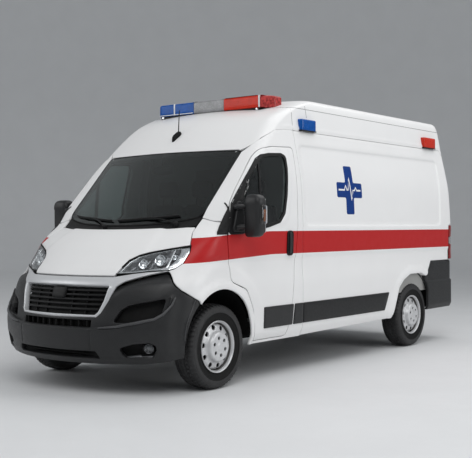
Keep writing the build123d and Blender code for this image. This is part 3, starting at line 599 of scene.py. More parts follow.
def triangulate(loops: Sequence[Loop], lines: Sequence[np.ndarray], step: float
                ) -> tuple[np.ndarray, list[tuple[int, ...]], list[np.ndarray]]:
    """Fill an outline, less its holes, with near-even triangles.

    Args:
        loops: the outer outline, then the holes.
        lines: polylines that the triangles must follow.
        step: spacing of the points inside.

    Returns:
        Points, faces, and each loop's vertex indices.
    """
    outer = loops[0]
    low, high = outer.min(axis=0), outer.max(axis=0)
    nu, nv = (np.maximum(np.ceil((high - low) / step), 1) + 1).astype(int)
    gu, gv = np.meshgrid(np.linspace(low[0], high[0], nu), np.linspace(low[1], high[1], nv))
    gu[::2] += 0.5 * (high[0] - low[0]) / (nu - 1)
    grid = np.stack([gu.ravel(), gv.ravel()], axis=1)

    def clear(points: np.ndarray, margin: float) -> np.ndarray:
        """Tell which points are in the sheet and off its edges by margin."""
        ok = inside(points, outer) & (distance(points, outer) > margin)
        for hole in loops[1:]:
            ok &= ~inside(points, hole) & (distance(points, hole) > margin)
        return ok

    grid = grid[clear(grid, step * 0.55)]
    kept_lines = []
    for line in lines:
        ok = clear(line, 0.003)
        cuts = np.split(np.arange(len(line)), np.where(~ok)[0])
        for cut in cuts:
            cut = cut[ok[cut]]
            if len(cut) > 1:
                kept_lines.append(line[cut])
        if len(grid):
            grid = grid[distance(grid, line, closed=False) > step * 0.4]
    verts, edges, rings = [], [], []
    for loop in loops:
        base = len(verts)
        verts += [Vector(p) for p in loop]
        edges += [(base + i, base + (i + 1) % len(loop)) for i in range(len(loop))]
        rings.append(np.arange(base, base + len(loop)))
    for line in kept_lines:
        base = len(verts)
        verts += [Vector(p) for p in line]
        edges += [(base + i, base + i + 1) for i in range(len(line) - 1)]
    verts += [Vector(p) for p in grid]
    out, _, faces, origins, _, _ = delaunay_2d_cdt(verts, edges, [], 0, 1e-6, True)
    where = {old: new for new, olds in enumerate(origins) for old in olds}
    points = np.array([tuple(v) for v in out])
    tri = np.array([f for f in faces if len(f) == 3])
    a, b, c = points[tri[:, 0]], points[tri[:, 1]], points[tri[:, 2]]
    area = (b[:, 0] - a[:, 0]) * (c[:, 1] - a[:, 1]) - (b[:, 1] - a[:, 1]) * (c[:, 0] - a[:, 0])
    tri = np.where(area[:, None] < 0, tri[:, ::-1], tri)[np.abs(area) > 1e-9]
    centres = points[tri].mean(axis=1)
    ok = inside(centres, outer)
    for hole in loops[1:]:
        ok &= ~inside(centres, hole)
    rings = [np.array([where[int(i)] for i in ring]) for ring in rings]
    return points, [tuple(f) for f in tri[ok]], rings


# ---- body form ---------------------------------------------------------------
class Side(Enum):
    """How a chart of the body form counts its first coordinate."""

    FRONT = "arc length round the nose from the middle line"
    SIDE = "y along the flat of the side, arc length round its ends"
    REAR = "x across the tail"


@dataclass(frozen=True)
class BodyForm:
    """Outer form of the body, level by level.

    Attributes:
        levels: height, foremost y, half width, nose radius and corner radius.
        tail: height and rearmost y.
        tail_radius: rear corners in plan.
    """

    levels: tuple[tuple[float, ...], ...] = (
        (0.240, -2.6085, 0.985, 1.50, 0.48), (0.400, -2.6635, 1.008, 1.50, 0.48),
        (0.540, -2.6735, 1.016, 1.50, 0.48), (0.700, -2.6335, 1.020, 1.50, 0.47),
        (0.870, -2.5845, 1.021, 1.45, 0.43), (0.945, -2.5155, 1.021, 1.40, 0.40),
        (1.050, -2.3885, 1.021, 1.60, 0.34), (1.174, -2.2335, 1.022, 1.90, 0.25),
        (1.281, -2.0485, 1.023, 2.40, 0.16), (1.344, -1.9245, 1.023, 2.70, 0.11),
        (1.500, -1.7775, 1.017, 3.00, 0.095), (1.667, -1.6195, 1.008, 3.00, 0.095),
        (1.759, -1.5325, 1.000, 3.00, 0.095), (1.990, -1.3145, 0.959, 2.90, 0.13),
        (2.190, -1.1100, 0.918, 2.70, 0.15), (2.325, -0.9300, 0.895, 2.60, 0.15),
        (2.430, -0.7000, 0.876, 2.60, 0.14), (2.500, -0.4800, 0.856, 2.60, 0.15),
        (2.540, -0.3400, 0.818, 2.60, 0.15), (2.557, -0.1600, 0.745, 2.60, 0.15))
    tail: tuple[tuple[float, float], ...] = (
        (0.24, 2.6545), (1.344, 2.6545), (1.667, 2.6485), (1.99, 2.6365), (2.19, 2.6265), (2.325, 2.622),
        (2.43, 2.614), (2.50, 2.604), (2.54, 2.586), (2.557, 2.550))
    tail_radius: float = 0.06

    @staticmethod
    def _curve(x: np.ndarray, y: np.ndarray, at: np.ndarray) -> np.ndarray:
        """Shape-preserving cubic through (x, y).

        Args:
            x: knots, rising.
            y: values at the knots.
            at: where to evaluate.

        Returns:
            The curve's values.
        """
        h, slope = np.diff(x), np.diff(y) / np.diff(x)
        d = np.zeros_like(y)
        d[0], d[-1] = slope[0], slope[-1]
        for i in range(1, len(x) - 1):
            if slope[i - 1] * slope[i] > 0:
                w1, w2 = 2 * h[i] + h[i - 1], h[i] + 2 * h[i - 1]
                d[i] = (w1 + w2) / (w1 / slope[i - 1] + w2 / slope[i])
        at = np.clip(at, x[0], x[-1])
        i = np.clip(np.searchsorted(x, at) - 1, 0, len(h) - 1)
        t = (at - x[i]) / h[i]
        return ((1 + 2 * t) * (1 - t) ** 2 * y[i] + t * (1 - t) ** 2 * h[i] * d[i]
                + t * t * (3 - 2 * t) * y[i + 1] + t * t * (t - 1) * h[i] * d[i + 1])

    def section(self, z: np.ndarray) -> dict[str, np.ndarray]:
        """Plan section's centres, radii and joins at each height.

        Args:
            z: heights.

        Returns:
            Arrays by name; lengths a1..a4 run along the section from the middle line.
        """
        table = np.array(self.levels)
        yf, w, rf, rc = (self._curve(table[:, 0], table[:, k], z) for k in range(1, 5))
        tail = np.array(self.tail)
        yr = self._curve(tail[:, 0], tail[:, 1], z)
        xc = w - rc
        yc = yf + rf - np.sqrt((rf - rc) ** 2 - xc ** 2)
        xj = rf * xc / (rf - rc)
        yj = yf + rf - np.sqrt(rf ** 2 - xj ** 2)
        phi = np.arctan2(yj - yc, xj - xc)
        a1 = rf * np.arcsin(xj / rf)
        a2 = a1 - rc * phi
        a3 = a2 + yr - self.tail_radius - yc
        a4 = a3 + self.tail_radius * math.pi / 2
        return dict(yf=yf, w=w, rf=rf, rc=rc, yr=yr, xc=xc,
                    yc=yc, xj=xj, yj=yj, phi=phi, a1=a1, a2=a2, a3=a3, a4=a4)

    def point(self, a: np.ndarray, z: np.ndarray) -> tuple[np.ndarray, np.ndarray]:
        """Point and level tangent at an arc length and height.

        Args:
            a: length along the section from the middle of the nose.
            z: height.

        Returns:
            Points and unit tangents, each (n, 3).
        """
        s, tr = self.section(z), self.tail_radius
        zero = np.zeros_like(a)
        theta = a / s["rf"]
        psi = s["phi"] + (a - s["a1"]) / s["rc"]
        rear = (a - s["a3"]) / tr
        parts = [
            (s["rf"] * np.sin(theta), s["yf"] + s["rf"] * (1 - np.cos(theta)),
             np.cos(theta), np.sin(theta)),
            (s["xc"] + s["rc"] * np.cos(psi), s["yc"] + s["rc"] * np.sin(psi), -np.sin(psi), np.cos(psi)),
            (s["w"], s["yc"] + a - s["a2"], zero, zero + 1),
            (s["w"] - tr + tr * np.cos(rear), s["yr"] - tr + tr * np.sin(rear),
             -np.sin(rear), np.cos(rear)),
            (s["w"] - tr - (a - s["a4"]), s["yr"], zero - 1, zero)]
        zone = (a >= s["a1"]).astype(int) + (a >= s["a2"]) + (a >= s["a3"]) + (a >= s["a4"])
        x, y, tx, ty = (np.choose(zone, [p[k] for p in parts]) for k in range(4))
        return np.stack([x, y, z], axis=1), np.stack([tx, ty, zero], axis=1)

    def from_x(self, x: np.ndarray, z: np.ndarray) -> np.ndarray:
        """Arc length at which the nose or a front corner reaches x."""
        s = self.section(z)
        nose = s["rf"] * np.arcsin(np.clip(x / s["rf"], -1, 1))
        corner = s["a1"] + (-np.arccos(np.clip((x - s["xc"]) / s["rc"], -1, 1)) - s["phi"]) * s["rc"]
        return np.where(x < s["xj"], nose, corner)

    def from_y(self, y: np.ndarray, z: np.ndarray) -> np.ndarray:
        """Arc length at which the nose, corner or side reaches y."""
        s = self.section(z)
        nose = s["rf"] * np.arccos(np.clip((s["yf"] + s["rf"] - y) / s["rf"], -1, 1))
        corner = s["a1"] + (np.arcsin(np.clip((y - s["yc"]) / s["rc"], -1, 1)) - s["phi"]) * s["rc"]
        return np.where(y < s["yj"], nose, np.where(y < s["yc"], corner, s["a2"] + y - s["yc"]))


FORM = BodyForm()


@dataclass(frozen=True)
class Chart:
    """Flat map of part of the body form.

    Attributes:
        kind: what the first coordinate counts.
        side: 1 for the vehicle's left, -1 for its right.
    """

    kind: Side
    side: int = 1

    def shift(self, z: np.ndarray) -> np.ndarray:
        """Amount added to arc length so that it reads as y along the side."""
        if self.kind is not Side.SIDE:
            return np.zeros_like(z)
        s = FORM.section(z)
        return s["yc"] - s["a2"]

    def at(self, points: Sequence[tuple[str, float, float]]) -> Loop:
        """Map (axis, value, z) rows, with axis "x" or "y", into the chart."""
        out = []
        for axis, value, z in points:
            level = np.array([z])
            reach = FORM.from_x if axis == "x" else FORM.from_y
            out.append((float((reach(np.array([value]), level) + self.shift(level))[0]), z))
        return np.array(out)

    def convert(self, loop: Loop, axis: str) -> Loop:
        """Map a dense (x, z) or (y, z) outline into the chart; x may be negative."""
        value, z = loop[:, 0], loop[:, 1]
        if axis == "x":
            u = np.sign(value) * FORM.from_x(np.abs(value), z)
        else:
            u = FORM.from_y(value, z)
        return np.stack([u + self.shift(z), z], axis=1)

    def place(self, uv: np.ndarray, sink: np.ndarray | float = 0.0) -> np.ndarray:
        """Points of the chart, moved inwards from the body form.

        Args:
            uv: chart coordinates, (n, 2).
            sink: distance inwards along the surface's normal.

        Returns:
            Points in the vehicle's frame, (n, 3).
        """
        sink = np.broadcast_to(np.asarray(sink, float), (len(uv),))
        z = uv[:, 1]
        if self.kind is Side.REAR:
            s, tr = FORM.section(z), FORM.tail_radius
            x = np.abs(uv[:, 0])
            over = np.clip(x - (s["w"] - tr), 0, tr * 0.999)
            y = s["yr"] - tr + np.sqrt(tr ** 2 - over ** 2)
            return np.stack([uv[:, 0] * self.side, y - sink, z], axis=1)
        a = uv[:, 0] - self.shift(z)
        sign = np.where(a < 0, -1.0, 1.0) if self.kind is Side.FRONT else np.ones_like(a)
        a = np.abs(a)
        p, along = FORM.point(a, z)
        h = 0.002
        up = FORM.point(a, np.minimum(z + h, 2.5235))[0] - FORM.point(a, z - h)[0]
        normal = np.cross(along, up)
        normal /= np.maximum(np.linalg.norm(normal, axis=1)[:, None], 1e-9)
        p = p - normal * sink[:, None]
        p[:, 0] *= sign * self.side
        return p

    @property
    def flip(self) -> bool:
        """Whether faces wound counter-clockwise in the chart face inwards."""
        return (self.side < 0) != (self.kind is Side.REAR)


@dataclass(frozen=True)
class Edge:
    """Section of a panel's rim.

    Attributes:
        roll: radius of the rolled edge.
        rows: further (inset, sink) rows beyond the roll, ending at the back face.
    """

    roll: float = 0.004
    rows: tuple[tuple[float, float], ...] = ((0.0, 0.018),)

    def profile(self) -> list[tuple[float, float]]:
        """All (inset, sink) rows from the face to the back."""
        turns = [math.radians(t) for t in (0, 30, 60, 90)]
        rolled = [(self.roll * (1 - math.sin(t)), self.roll * (1 - math.cos(t))) for t in turns]
        return rolled + list(self.rows)


HEM = Edge()
WALL_EDGE = Edge(rows=((0.0, 0.048),))
DOOR_EDGE = Edge(rows=((0.0, 0.014), (0.015, 0.015), (0.016, 0.050)))
THIN = Edge(0.0012, ((0.0, 0.004),))
DECAL = Edge(0.0003, ((0.0, 0.0012),))


def no_relief(u: np.ndarray, v: np.ndarray) -> np.ndarray:
    """Flat relief."""
    return np.zeros_like(u)


def panel_mesh(chart: Chart, outer: Loop, holes: Sequence[Loop] = (), edge: Edge = HEM,
               hole_edge: Edge | None = None, relief: Relief = no_relief, lines: Sequence[np.ndarray] = (),
               step: float = 0.024, raised: float = 0.0) -> tuple[np.ndarray, list[tuple[int, ...]]]:
    """Closed shell of a panel that follows the body form.

    Args:
        chart: map of the surface.
        outer: outline in the chart, counter-clockwise.
        holes: openings, counter-clockwise.
        edge: section of the outer rim.
        hole_edge: section of the openings' rims; the same as edge if left out.
        relief: outward displacement over the chart.
        lines: polylines that the triangles follow, where the relief bends.
        step: spacing of points over the face.
        raised: distance of the whole panel outside the body form.

    Returns:
        Vertices and faces.
    """
    hole_edge = hole_edge or edge
    profile, hole_profile = edge.profile(), hole_edge.profile()

    def ring(loop: Loop, inset: float, hole: bool) -> Loop:
        """The rim's outline at an inset into the panel."""
        return loop if abs(inset) < 1e-7 else grow(loop, inset if hole else -inset)

    bases = [ring(outer, profile[0][0], False)] + [ring(h, hole_profile[0][0], True) for h in holes]
    points, faces, rings = triangulate(bases, lines, step)
    verts = [chart.place(points, -raised - relief(points[:, 0], points[:, 1]))]
    polys: list[tuple[int, ...]] = list(faces)
    count = len(points)
    backs = []
    for k, (loop, rows) in enumerate([(outer, profile)] + [(h, hole_profile) for h in holes]):
        previous = rings[k]
        for inset, sink in rows[1:]:
            line = ring(loop, inset, k > 0)
            verts.append(chart.place(line, sink - raised - relief(line[:, 0], line[:, 1])))
            current = np.arange(count, count + len(line))
            count += len(line)
            for i in range(len(line)):
                j = (i + 1) % len(line)
                quad = (previous[j], previous[i], current[i], current[j])
                polys.append(quad if k == 0 else quad[::-1])
            previous = current
        backs.append((previous, ring(loop, rows[-1][0], k > 0)))
    depth = profile[-1][1]
    back_points, back_faces, back_rings = triangulate([b[1] for b in backs], [], step * 1.8)
    place = np.full(len(back_points), -1)
    for (indices, _), back in zip(backs, back_rings):
        place[back] = indices
    free = np.where(place < 0)[0]
    place[free] = np.arange(count, count + len(free))
    verts.append(chart.place(back_points[free],
                             depth - raised - relief(back_points[free, 0], back_points[free, 1])))
    polys += [tuple(int(place[i]) for i in f)[::-1] for f in back_faces]
    if chart.flip:
        polys = [p[::-1] for p in polys]
    return np.vstack(verts), polys


# ---- outlines shared by neighbouring pieces ----------------------------------
GAP = 0.006
FRONT_AXLE_Y, REAR_AXLE_Y = -1.7585, 1.6915
TYRE_R = 0.349
DOOR_OUTLINE = [(-1.669, 1.250), (-1.628, .879), (-1.420, .805),
                (-1.308, .610), (-1.299, .350), (-.805, .350),
                (-.718, .682), (-.638, 1.320), (-.610, 2.056),
                (-.947, 2.040), (-1.089, 2.017), (-1.159, 1.983),
                (-1.229, 1.931), (-1.307, 1.855), (-1.410, 1.748),
                (-1.501, 1.649), (-1.598, 1.528), (-1.655, 1.390)]
DOOR_CORNERS = [.10, .06, .10, .10, .03, .05, .3, .3, .05, .3, .3, .3, .3, .3, .3, .3, .2, .2]
SEAL_OUTLINE = [(-1.669, 1.264), (-1.653, 1.388), (-1.597, 1.520),
                (-1.524, 1.600), (-1.372, 1.759), (-1.200, 1.924), (-1.129, 1.962),
                (-1.017, 1.982), (-.819, 1.993), (-.745, 1.969),
                (-.747, 1.859), (-.789, 1.604), (-.834, 1.446),
                (-.916, 1.364), (-1.077, 1.327), (-1.480, 1.268)]
GLASS_OUTLINE = [(-1.535, 1.352), (-1.400, 1.685), (-1.310, 1.778), (-1.180, 1.892), (-1.110, 1.932),
                 (-.990, 1.950), (-.800, 1.960), (-.775, 1.930),
                 (-.782, 1.800), (-.818, 1.610), (-.858, 1.470),
                 (-.930, 1.392), (-1.080, 1.356)]
SLIDING_OUTLINE = [(-.515, .372), (-.515, 2.125), (.700, 2.125), (.700, .372)]
LAMP_OUTLINE = [(.477, .959), (.488, 1.010), (.505, 1.062), (.560, 1.100), (.627, 1.123), (.769, 1.153),
                (.904, 1.178), (.921, 1.127), (.912, 1.043),
                (.874, 1.001), (.841, .988), (.712, .980), (.603, .965)]
COWL_R = 1.850
COWL_MIDDLE_Y = COWL_R - 1.992
WINDSHIELD_HALF = .805


def cowl_y(x: float, inset: float = 0.0) -> float:
    """Y of the cowl line's arc in plan, set back by inset."""
    return COWL_MIDDLE_Y - math.sqrt((COWL_R - inset) ** 2 - x * x)


def height_at(x: float, y: float, low: float = 1.1, high: float = 1.6) -> float:
    """Height at which the front of the body form is over (x, y)."""
    for _ in range(40):
        mid = (low + high) / 2
        a = FORM.from_x(np.array([abs(x)]), np.array([mid]))
        if FORM.point(a, np.array([mid]))[0][0, 1] < y:
            low = mid
        else:
            high = mid
    return (low + high) / 2


def both_sides(points: Sequence[tuple[float, float]]) -> list[tuple[float, float]]:
    """Close a left-half outline, middle line to middle line, with its mirror image."""
    right = [(-x, z) for x, z in reversed(points) if x > 1e-9]
    return list(points) + right


def corner_u(chart: Chart, x: float, z: float) -> float:
    """Coordinate of a side chart where the rear corner reaches x."""
    s = {k: float(v[0]) for k, v in FORM.section(np.array([z])).items()}
    over = x - (s["w"] - FORM.tail_radius)
    if over < 0:
        a = s["a4"] - over
    else:
        a = s["a3"] + FORM.tail_radius * math.acos(min(over / FORM.tail_radius, 1))
    return a + float(chart.shift(np.array([z]))[0])


def part_of(loop: Loop, start: Sequence[float], end: Sequence[float]) -> Loop:
    """Stretch of a dense outline from near one point to near another, going clockwise."""
    turned = loop[::-1]
    i = int(np.argmin(np.linalg.norm(turned - np.array(start), axis=1)))
    j = int(np.argmin(np.linalg.norm(turned - np.array(end), axis=1)))
    return np.roll(turned, -i, axis=0)[:(j - i) % len(turned) + 1]


def arc(centre: tuple[float, float], radius: float, start: float,
        end: float, steps: int = 24) -> list[tuple[float, float]]:
    """Points of a circular arc, angles in degrees from +Y towards +Z."""
    turns = np.radians(np.linspace(start, end, steps))
    return [(centre[0] + radius * math.cos(t), centre[1] + radius * math.sin(t)) for t in turns]


def spaced(points: Sequence[Sequence[float]] | np.ndarray, spacing: float = 0.018) -> np.ndarray:
    """Insert points so that an open line has no longer gaps than spacing."""
    pts = np.asarray(points, float)
    rows = [a + (b - a) * np.linspace(0, 1, max(1, int(np.ceil(np.linalg.norm(b - a) / spacing))),
                                      endpoint=False)[:, None] for a, b in zip(pts[:-1], pts[1:])]
    return np.vstack(rows + [pts[-1:]])


def joined(*lines: np.ndarray) -> Loop:
    """Close several dense lines into one counter-clockwise outline."""
    loop = np.vstack(lines)
    loop = spaced(np.vstack([loop, loop[:1]]))[:-1]
    keep = np.linalg.norm(loop - np.roll(loop, 1, axis=0), axis=1) > 1e-3
    loop = loop[keep]
    area = np.sum(loop[:, 0] * np.roll(loop[:, 1], -1) - np.roll(loop[:, 0], -1) * loop[:, 1])
    return loop if area > 0 else loop[::-1]


ARCH_CENTRE, ARCH_R = (FRONT_AXLE_Y, 0.408), 0.412
REAR_ARCH = [(1.178, .322), (1.240, .500), (1.310, .671), (1.416, .750), (1.560, .806), (1.830, .806),
             (1.965, .757)]
BODY_SEAM_Y = -0.550
SILL_Z = 0.322
GUTTER = [(-1.215, 1.990), (-1.028, 2.118), (-.838, 2.205), (-.600, 2.221)]
RECESS = [(-.500, 1.340), (-.500, 2.085), (2.393, 2.085), (2.335, 1.340)]
MOULDING_Z = (0.446, 0.632)
JOINT_LINE = [(-2.033, .716), (-2.047, .741), (-2.188, .832)]
CHEEK_LINE = [("x", .968, .832), ("x", .941, .867), ("x", .914, .901), ("x", .887, .936), ("x", .860, .968),
              ("x", .846, .979)]
ARCH_BULGE = (.170, .225)


@dataclass
class BodyShell:
    """Painted outer panels of the body, roof included.

    Attributes:
        recess_depth: depth of the long panel pressed into the sides.
        waist_step: how far the side steps in under the stripe.
        rear_half: half width of the rear doorway.
    """

    recess_depth: float = 0.011
    waist_step: float = 0.010
    rear_half: float = 0.886

    def build(self) -> None:
        """Build every fixed panel."""
        self.hood()
        for name, side in SIDES:
            self.fender(name, side)
            self.cab_side(name, side)
            self.body_side(name, side)
        self.roof()
        for name, side in SIDES:
            self.sealed_joints(name, side)
        self.cowl()

    # -- reliefs
    def hood_relief(self, u: np.ndarray, z: np.ndarray) -> np.ndarray:
        """Two creases that run up the hood and a soft bead over its lip."""
        at = 0.70 - 0.16 * np.clip((z - 0.95) / 0.38, 0, 1)
        crease = 0.010 * ease(np.abs(u), at + 0.035, at - 0.035)
        bead = 0.006 * np.exp(-((z - 0.978) / 0.016) ** 2) * ease(np.abs(u), 0.60, 0.45)
        return crease * ease(z, 0.95, 1.05) + bead

    def side_relief(self, u: np.ndarray, z: np.ndarray) -> np.ndarray:
        """Waist crease, sill roll and wheel-arch lips of the sides."""
        under = ease(z, 1.086, 1.040) * ease(z, 0.80, 0.98)
        waist = -self.waist_step * under * ease(u, -2.15, -1.95)
        sill = -0.020 * ease(z, 0.42, SILL_Z)
        front = np.hypot(u - ARCH_CENTRE[0], z - ARCH_CENTRE[1])
        lip = 0.015 * ease(front, ARCH_R + 0.075, ARCH_R + 0.045)
        bulge = 0.011 * ease(front, ARCH_R + ARCH_BULGE[1], ARCH_R + ARCH_BULGE[0]) * ease(z, .55, .75)
        pts = np.stack([u.ravel(), z.ravel()], axis=1)
        rear = distance(pts, np.array(REAR_ARCH), closed=False).reshape(u.shape)
        lip = lip + 0.012 * ease(rear, 0.085, 0.050)
        return waist + sill + lip + bulge

    def body_relief(self, u: np.ndarray, z: np.ndarray) -> np.ndarray:
        """Side relief with the long pressed panel between waist and gutter."""
        pts = np.stack([u.ravel(), z.ravel()], axis=1)
        depth = depth_in(pts, self.recess_loop()).reshape(u.shape)
        return self.side_relief(u, z) - self.recess_depth * ease(depth, -0.011, 0.011)

    @staticmethod
    def recess_loop() -> Loop:
        """Outline of the pressed side panel."""
        return rounded(RECESS, 0.075, 0.03)

    def hood(self) -> None:
        """Hood over the nose, back to the cowl line."""
        rear = [(x, height_at(x, cowl_y(x))) for x in np.linspace(0.785, 0, 16)]
        half = [(0, .945), (.470, .945)] + LAMP_OUTLINE[:7] + [(.887, 1.201), (.864, 1.241), (.827, 1.289),
                                                              (.803, 1.332)] + rear[1:]
        points = half + [(-x, z) for x, z in reversed(half) if x > 1e-6]
        chart = Chart(Side.FRONT)
        loop = chart.convert(rounded(points, .01), "x")
        loop = grow(loop, -GAP / 2)
        lines = []
        for shift in (-0.035, 0, 0.035):
            z = np.linspace(0.95, 1.34, 24)
            at = 0.70 - 0.16 * np.clip((z - 0.95) / 0.38, 0, 1) + shift
            lines += [np.stack([at, z], axis=1), np.stack([-at, z], axis=1)]
        for z in (0.960, 0.978, 0.996):
            lines.append(np.stack([np.linspace(-0.62, 0.62, 60), np.full(60, z)], axis=1))
        mesh = panel_mesh(chart, loop, relief=self.hood_relief, lines=lines, edge=Edge(.005, ((0, .018),)))
        stands_for(solid("hood_panel", *mesh, WHITE, "hood"), "paint", "hood")

    def door_loop(self) -> Loop:
        """Outline of the left front door, in side view."""
        return rounded(DOOR_OUTLINE, DOOR_CORNERS)

    def fender(self, name: str, side: int) -> None:
        """Fender between lamp, hood, door and bumper.

        Args:
            name: "left" or "right".
            side: 1 or -1.
        """
        chart = Chart(Side.SIDE, side)
        front = chart.at([("x", .838, .985), ("x", .846, .989),
                          ("x", .874, 1.001), ("x", .912, 1.043), ("x", .921, 1.127),
                          ("x", .906, 1.178), ("x", .887, 1.201), ("x", .864, 1.241), ("x", .827, 1.289),
                          ("x", .808, 1.330), ("x", .812, 1.402)])
        tip = chart.at([("y", -1.728, 1.376), ("y", -1.663, 1.362)])
        rear = part_of(grow(self.door_loop(), GAP)[::-1], (-1.663, 1.345), (-1.305, .36))
        arch = np.array([(-1.305, SILL_Z), (-1.352, SILL_Z)] + arc(ARCH_CENTRE, ARCH_R, -6, 131.5))
        joint = np.vstack([np.array(JOINT_LINE[:-1]), chart.at(CHEEK_LINE)])
        loop = joined(front, tip, rear, arch, joint)
        loop = grow(loop, -GAP / 3)
        lines = [np.array([(u, z) for u in np.linspace(-2.1, -1.3, 40)]) for z in (1.040, 1.063, 1.086)]
        lines.append(np.array(arc(ARCH_CENTRE, ARCH_R + 0.045, -6, 125, 40)))
        lines.append(np.array(arc(ARCH_CENTRE, ARCH_R + 0.075, -6, 120, 40)))
        lines += [np.array(arc(ARCH_CENTRE, ARCH_R + d, 20, 125, 40)) for d in ARCH_BULGE]
        mesh = panel_mesh(chart, loop, relief=self.side_relief, lines=lines, edge=Edge(.004, ((0, .016),)))
        stands_for(solid(f"fender_{name}", *mesh, STRIPED), "paint", "fenders")

    def cab_side(self, name: str, side: int) -> None:
        """Windshield pillar, cantrail, door post and sill round the front door.

        Args:
            name: "left" or "right".
            side: 1 or -1.
        """
        chart = Chart(Side.SIDE, side)
        shield = chart.at([("x", WINDSHIELD_HALF + .006, z) for z in np.linspace(1.408, 1.985, 24)])
        gutter = np.array(GUTTER[1:] + [(BODY_SEAM_Y - GAP / 2, 2.221)]) - (0, .001)
        post = np.array([(BODY_SEAM_Y - GAP / 2, SILL_Z), (-1.299, SILL_Z)])
        opening = part_of(grow(self.door_loop(), GAP)[::-1], (-1.299, .344), (-1.663, 1.375))
        foot = chart.at([("y", -1.728, 1.382)])
        loop = joined(shield, gutter, post, opening, foot)
        lines = [np.array([(-1.30, z), (-.55, z)]) for z in (.40,)]
        mesh = panel_mesh(chart, loop, relief=self.side_relief,
                          lines=lines, edge=Edge(.0015, ((0.0, 0.048),)))
        stands_for(solid(f"cab_side_{name}", *mesh, STRIPED), "paint", "cab_sides")

    def body_side(self, name: str, side: int) -> None:
        """Side wall behind the cab; on the right it has the sliding door's opening.

        Args:
            name: "left" or "right".
            side: 1 or -1.
        """
        chart = Chart(Side.SIDE, side)

        seam = BODY_SEAM_Y + GAP / 2
        rear_edge = [(corner_u(chart, self.rear_half, z), z) for z in np.linspace(1.346, 2.162, 24)]
        top = [(2.572, 2.162), (2.522, 2.218), (seam, 2.218)]
        bottom = [(seam, SILL_Z + .006)] + [(y, z + (.026 if z < .34 else 0)) for y,
                                            z in REAR_ARCH[:-1]] + [(1.962, .762),
                                                                    (2.098, .935),
                                                                    (2.556, .935), (2.556, 1.346)]
        radii = [.01] + [.01, .05, .05, .04, .04, .06, .06,
                         .02, .02, .02, .01] + [.002] * len(rear_edge) + [.02, .02, .01]
        loop = rounded(bottom + rear_edge + top, radii[:len(bottom) + len(rear_edge) + len(top)])
        recess = self.recess_loop()
        lines = [np.vstack([l, l[:1]]) for l in (grow(recess, d) for d in (-.011, -.004, .004, .011))]
        lines += [spaced([(seam, z), (2.6, z)], .024) for z in (1.040, 1.063, 1.086, .42)]
        lines += [spaced(np.array(REAR_ARCH) + (dy, dz), .02) for dy, dz in ((0, .05), (0, .085))]
        holes = []
        if side < 0:
            holes = [grow(rounded(SLIDING_OUTLINE, .06), GAP)]
        mesh = panel_mesh(chart, loop, holes, relief=self.body_relief,
                          lines=lines, edge=WALL_EDGE, step=.028)
        stands_for(solid(f"side_panel_{name}", *mesh, STRIPED), "paint", f"body_side_{name}")
        if side < 0:
            door = panel_mesh(chart, rounded(SLIDING_OUTLINE, .06), relief=self.body_relief,
                              lines=lines, edge=WALL_EDGE, step=.028)
            stands_for(solid("sliding_door", *door, STRIPED), "paint", "sliding_side_door")

    def sealed_joints(self, name: str, side: int) -> None:
        """Sealant in the roof's joints of one side.

        Args:
            name: "left" or "right".
            side: +1 left, -1 right.
        """
        chart = Chart(Side.SIDE, side)
        grey = [[(y, 2.442) for y in np.linspace(-.60, 2.575, 60)],
                [(-.548, 2.226), (-.540, 2.33), (-.515, 2.470)],
                [(-.285, 2.360), (-.280, 2.500)]]
        tubes = [tube(chart.place(chart.at([("y", y, z) for y, z in spaced(path, .03)]), .0018), .0036, 8)
                 for path in grey]
        solid(f"roof_sealant_{name}", *merged(tubes), SEALANT)
        white = spaced(GUTTER[:2], .03)
        fill = tube(chart.place(chart.at([("y", y, z) for y, z in white]), .0042), .0042, 8)
        solid(f"roof_filler_{name}", *fill, WHITE)

    def roof(self) -> None:
        """Roof from the windshield's top and the gutters up, with its inner liner."""
        columns = 300
        upper = np.array([2.43, 2.455, 2.478, 2.496, 2.510, 2.522, 2.532, 2.541, 2.548, 2.554, 2.557])
        t = np.linspace(0, 1, columns)
        t = 0.35 * t + 0.65 * np.interp(t, [0, .22, .45, .80, .90, 1], [0, .205, .30, .66, .82, 1])
        gy, gz = np.array(GUTTER + [(2.520, 2.221), (2.570, 2.165)]).T

        def total(z: np.ndarray) -> np.ndarray:
            """Half length of the section at z."""
            s = FORM.section(z)
            return s["a4"] + s["w"] - FORM.tail_radius

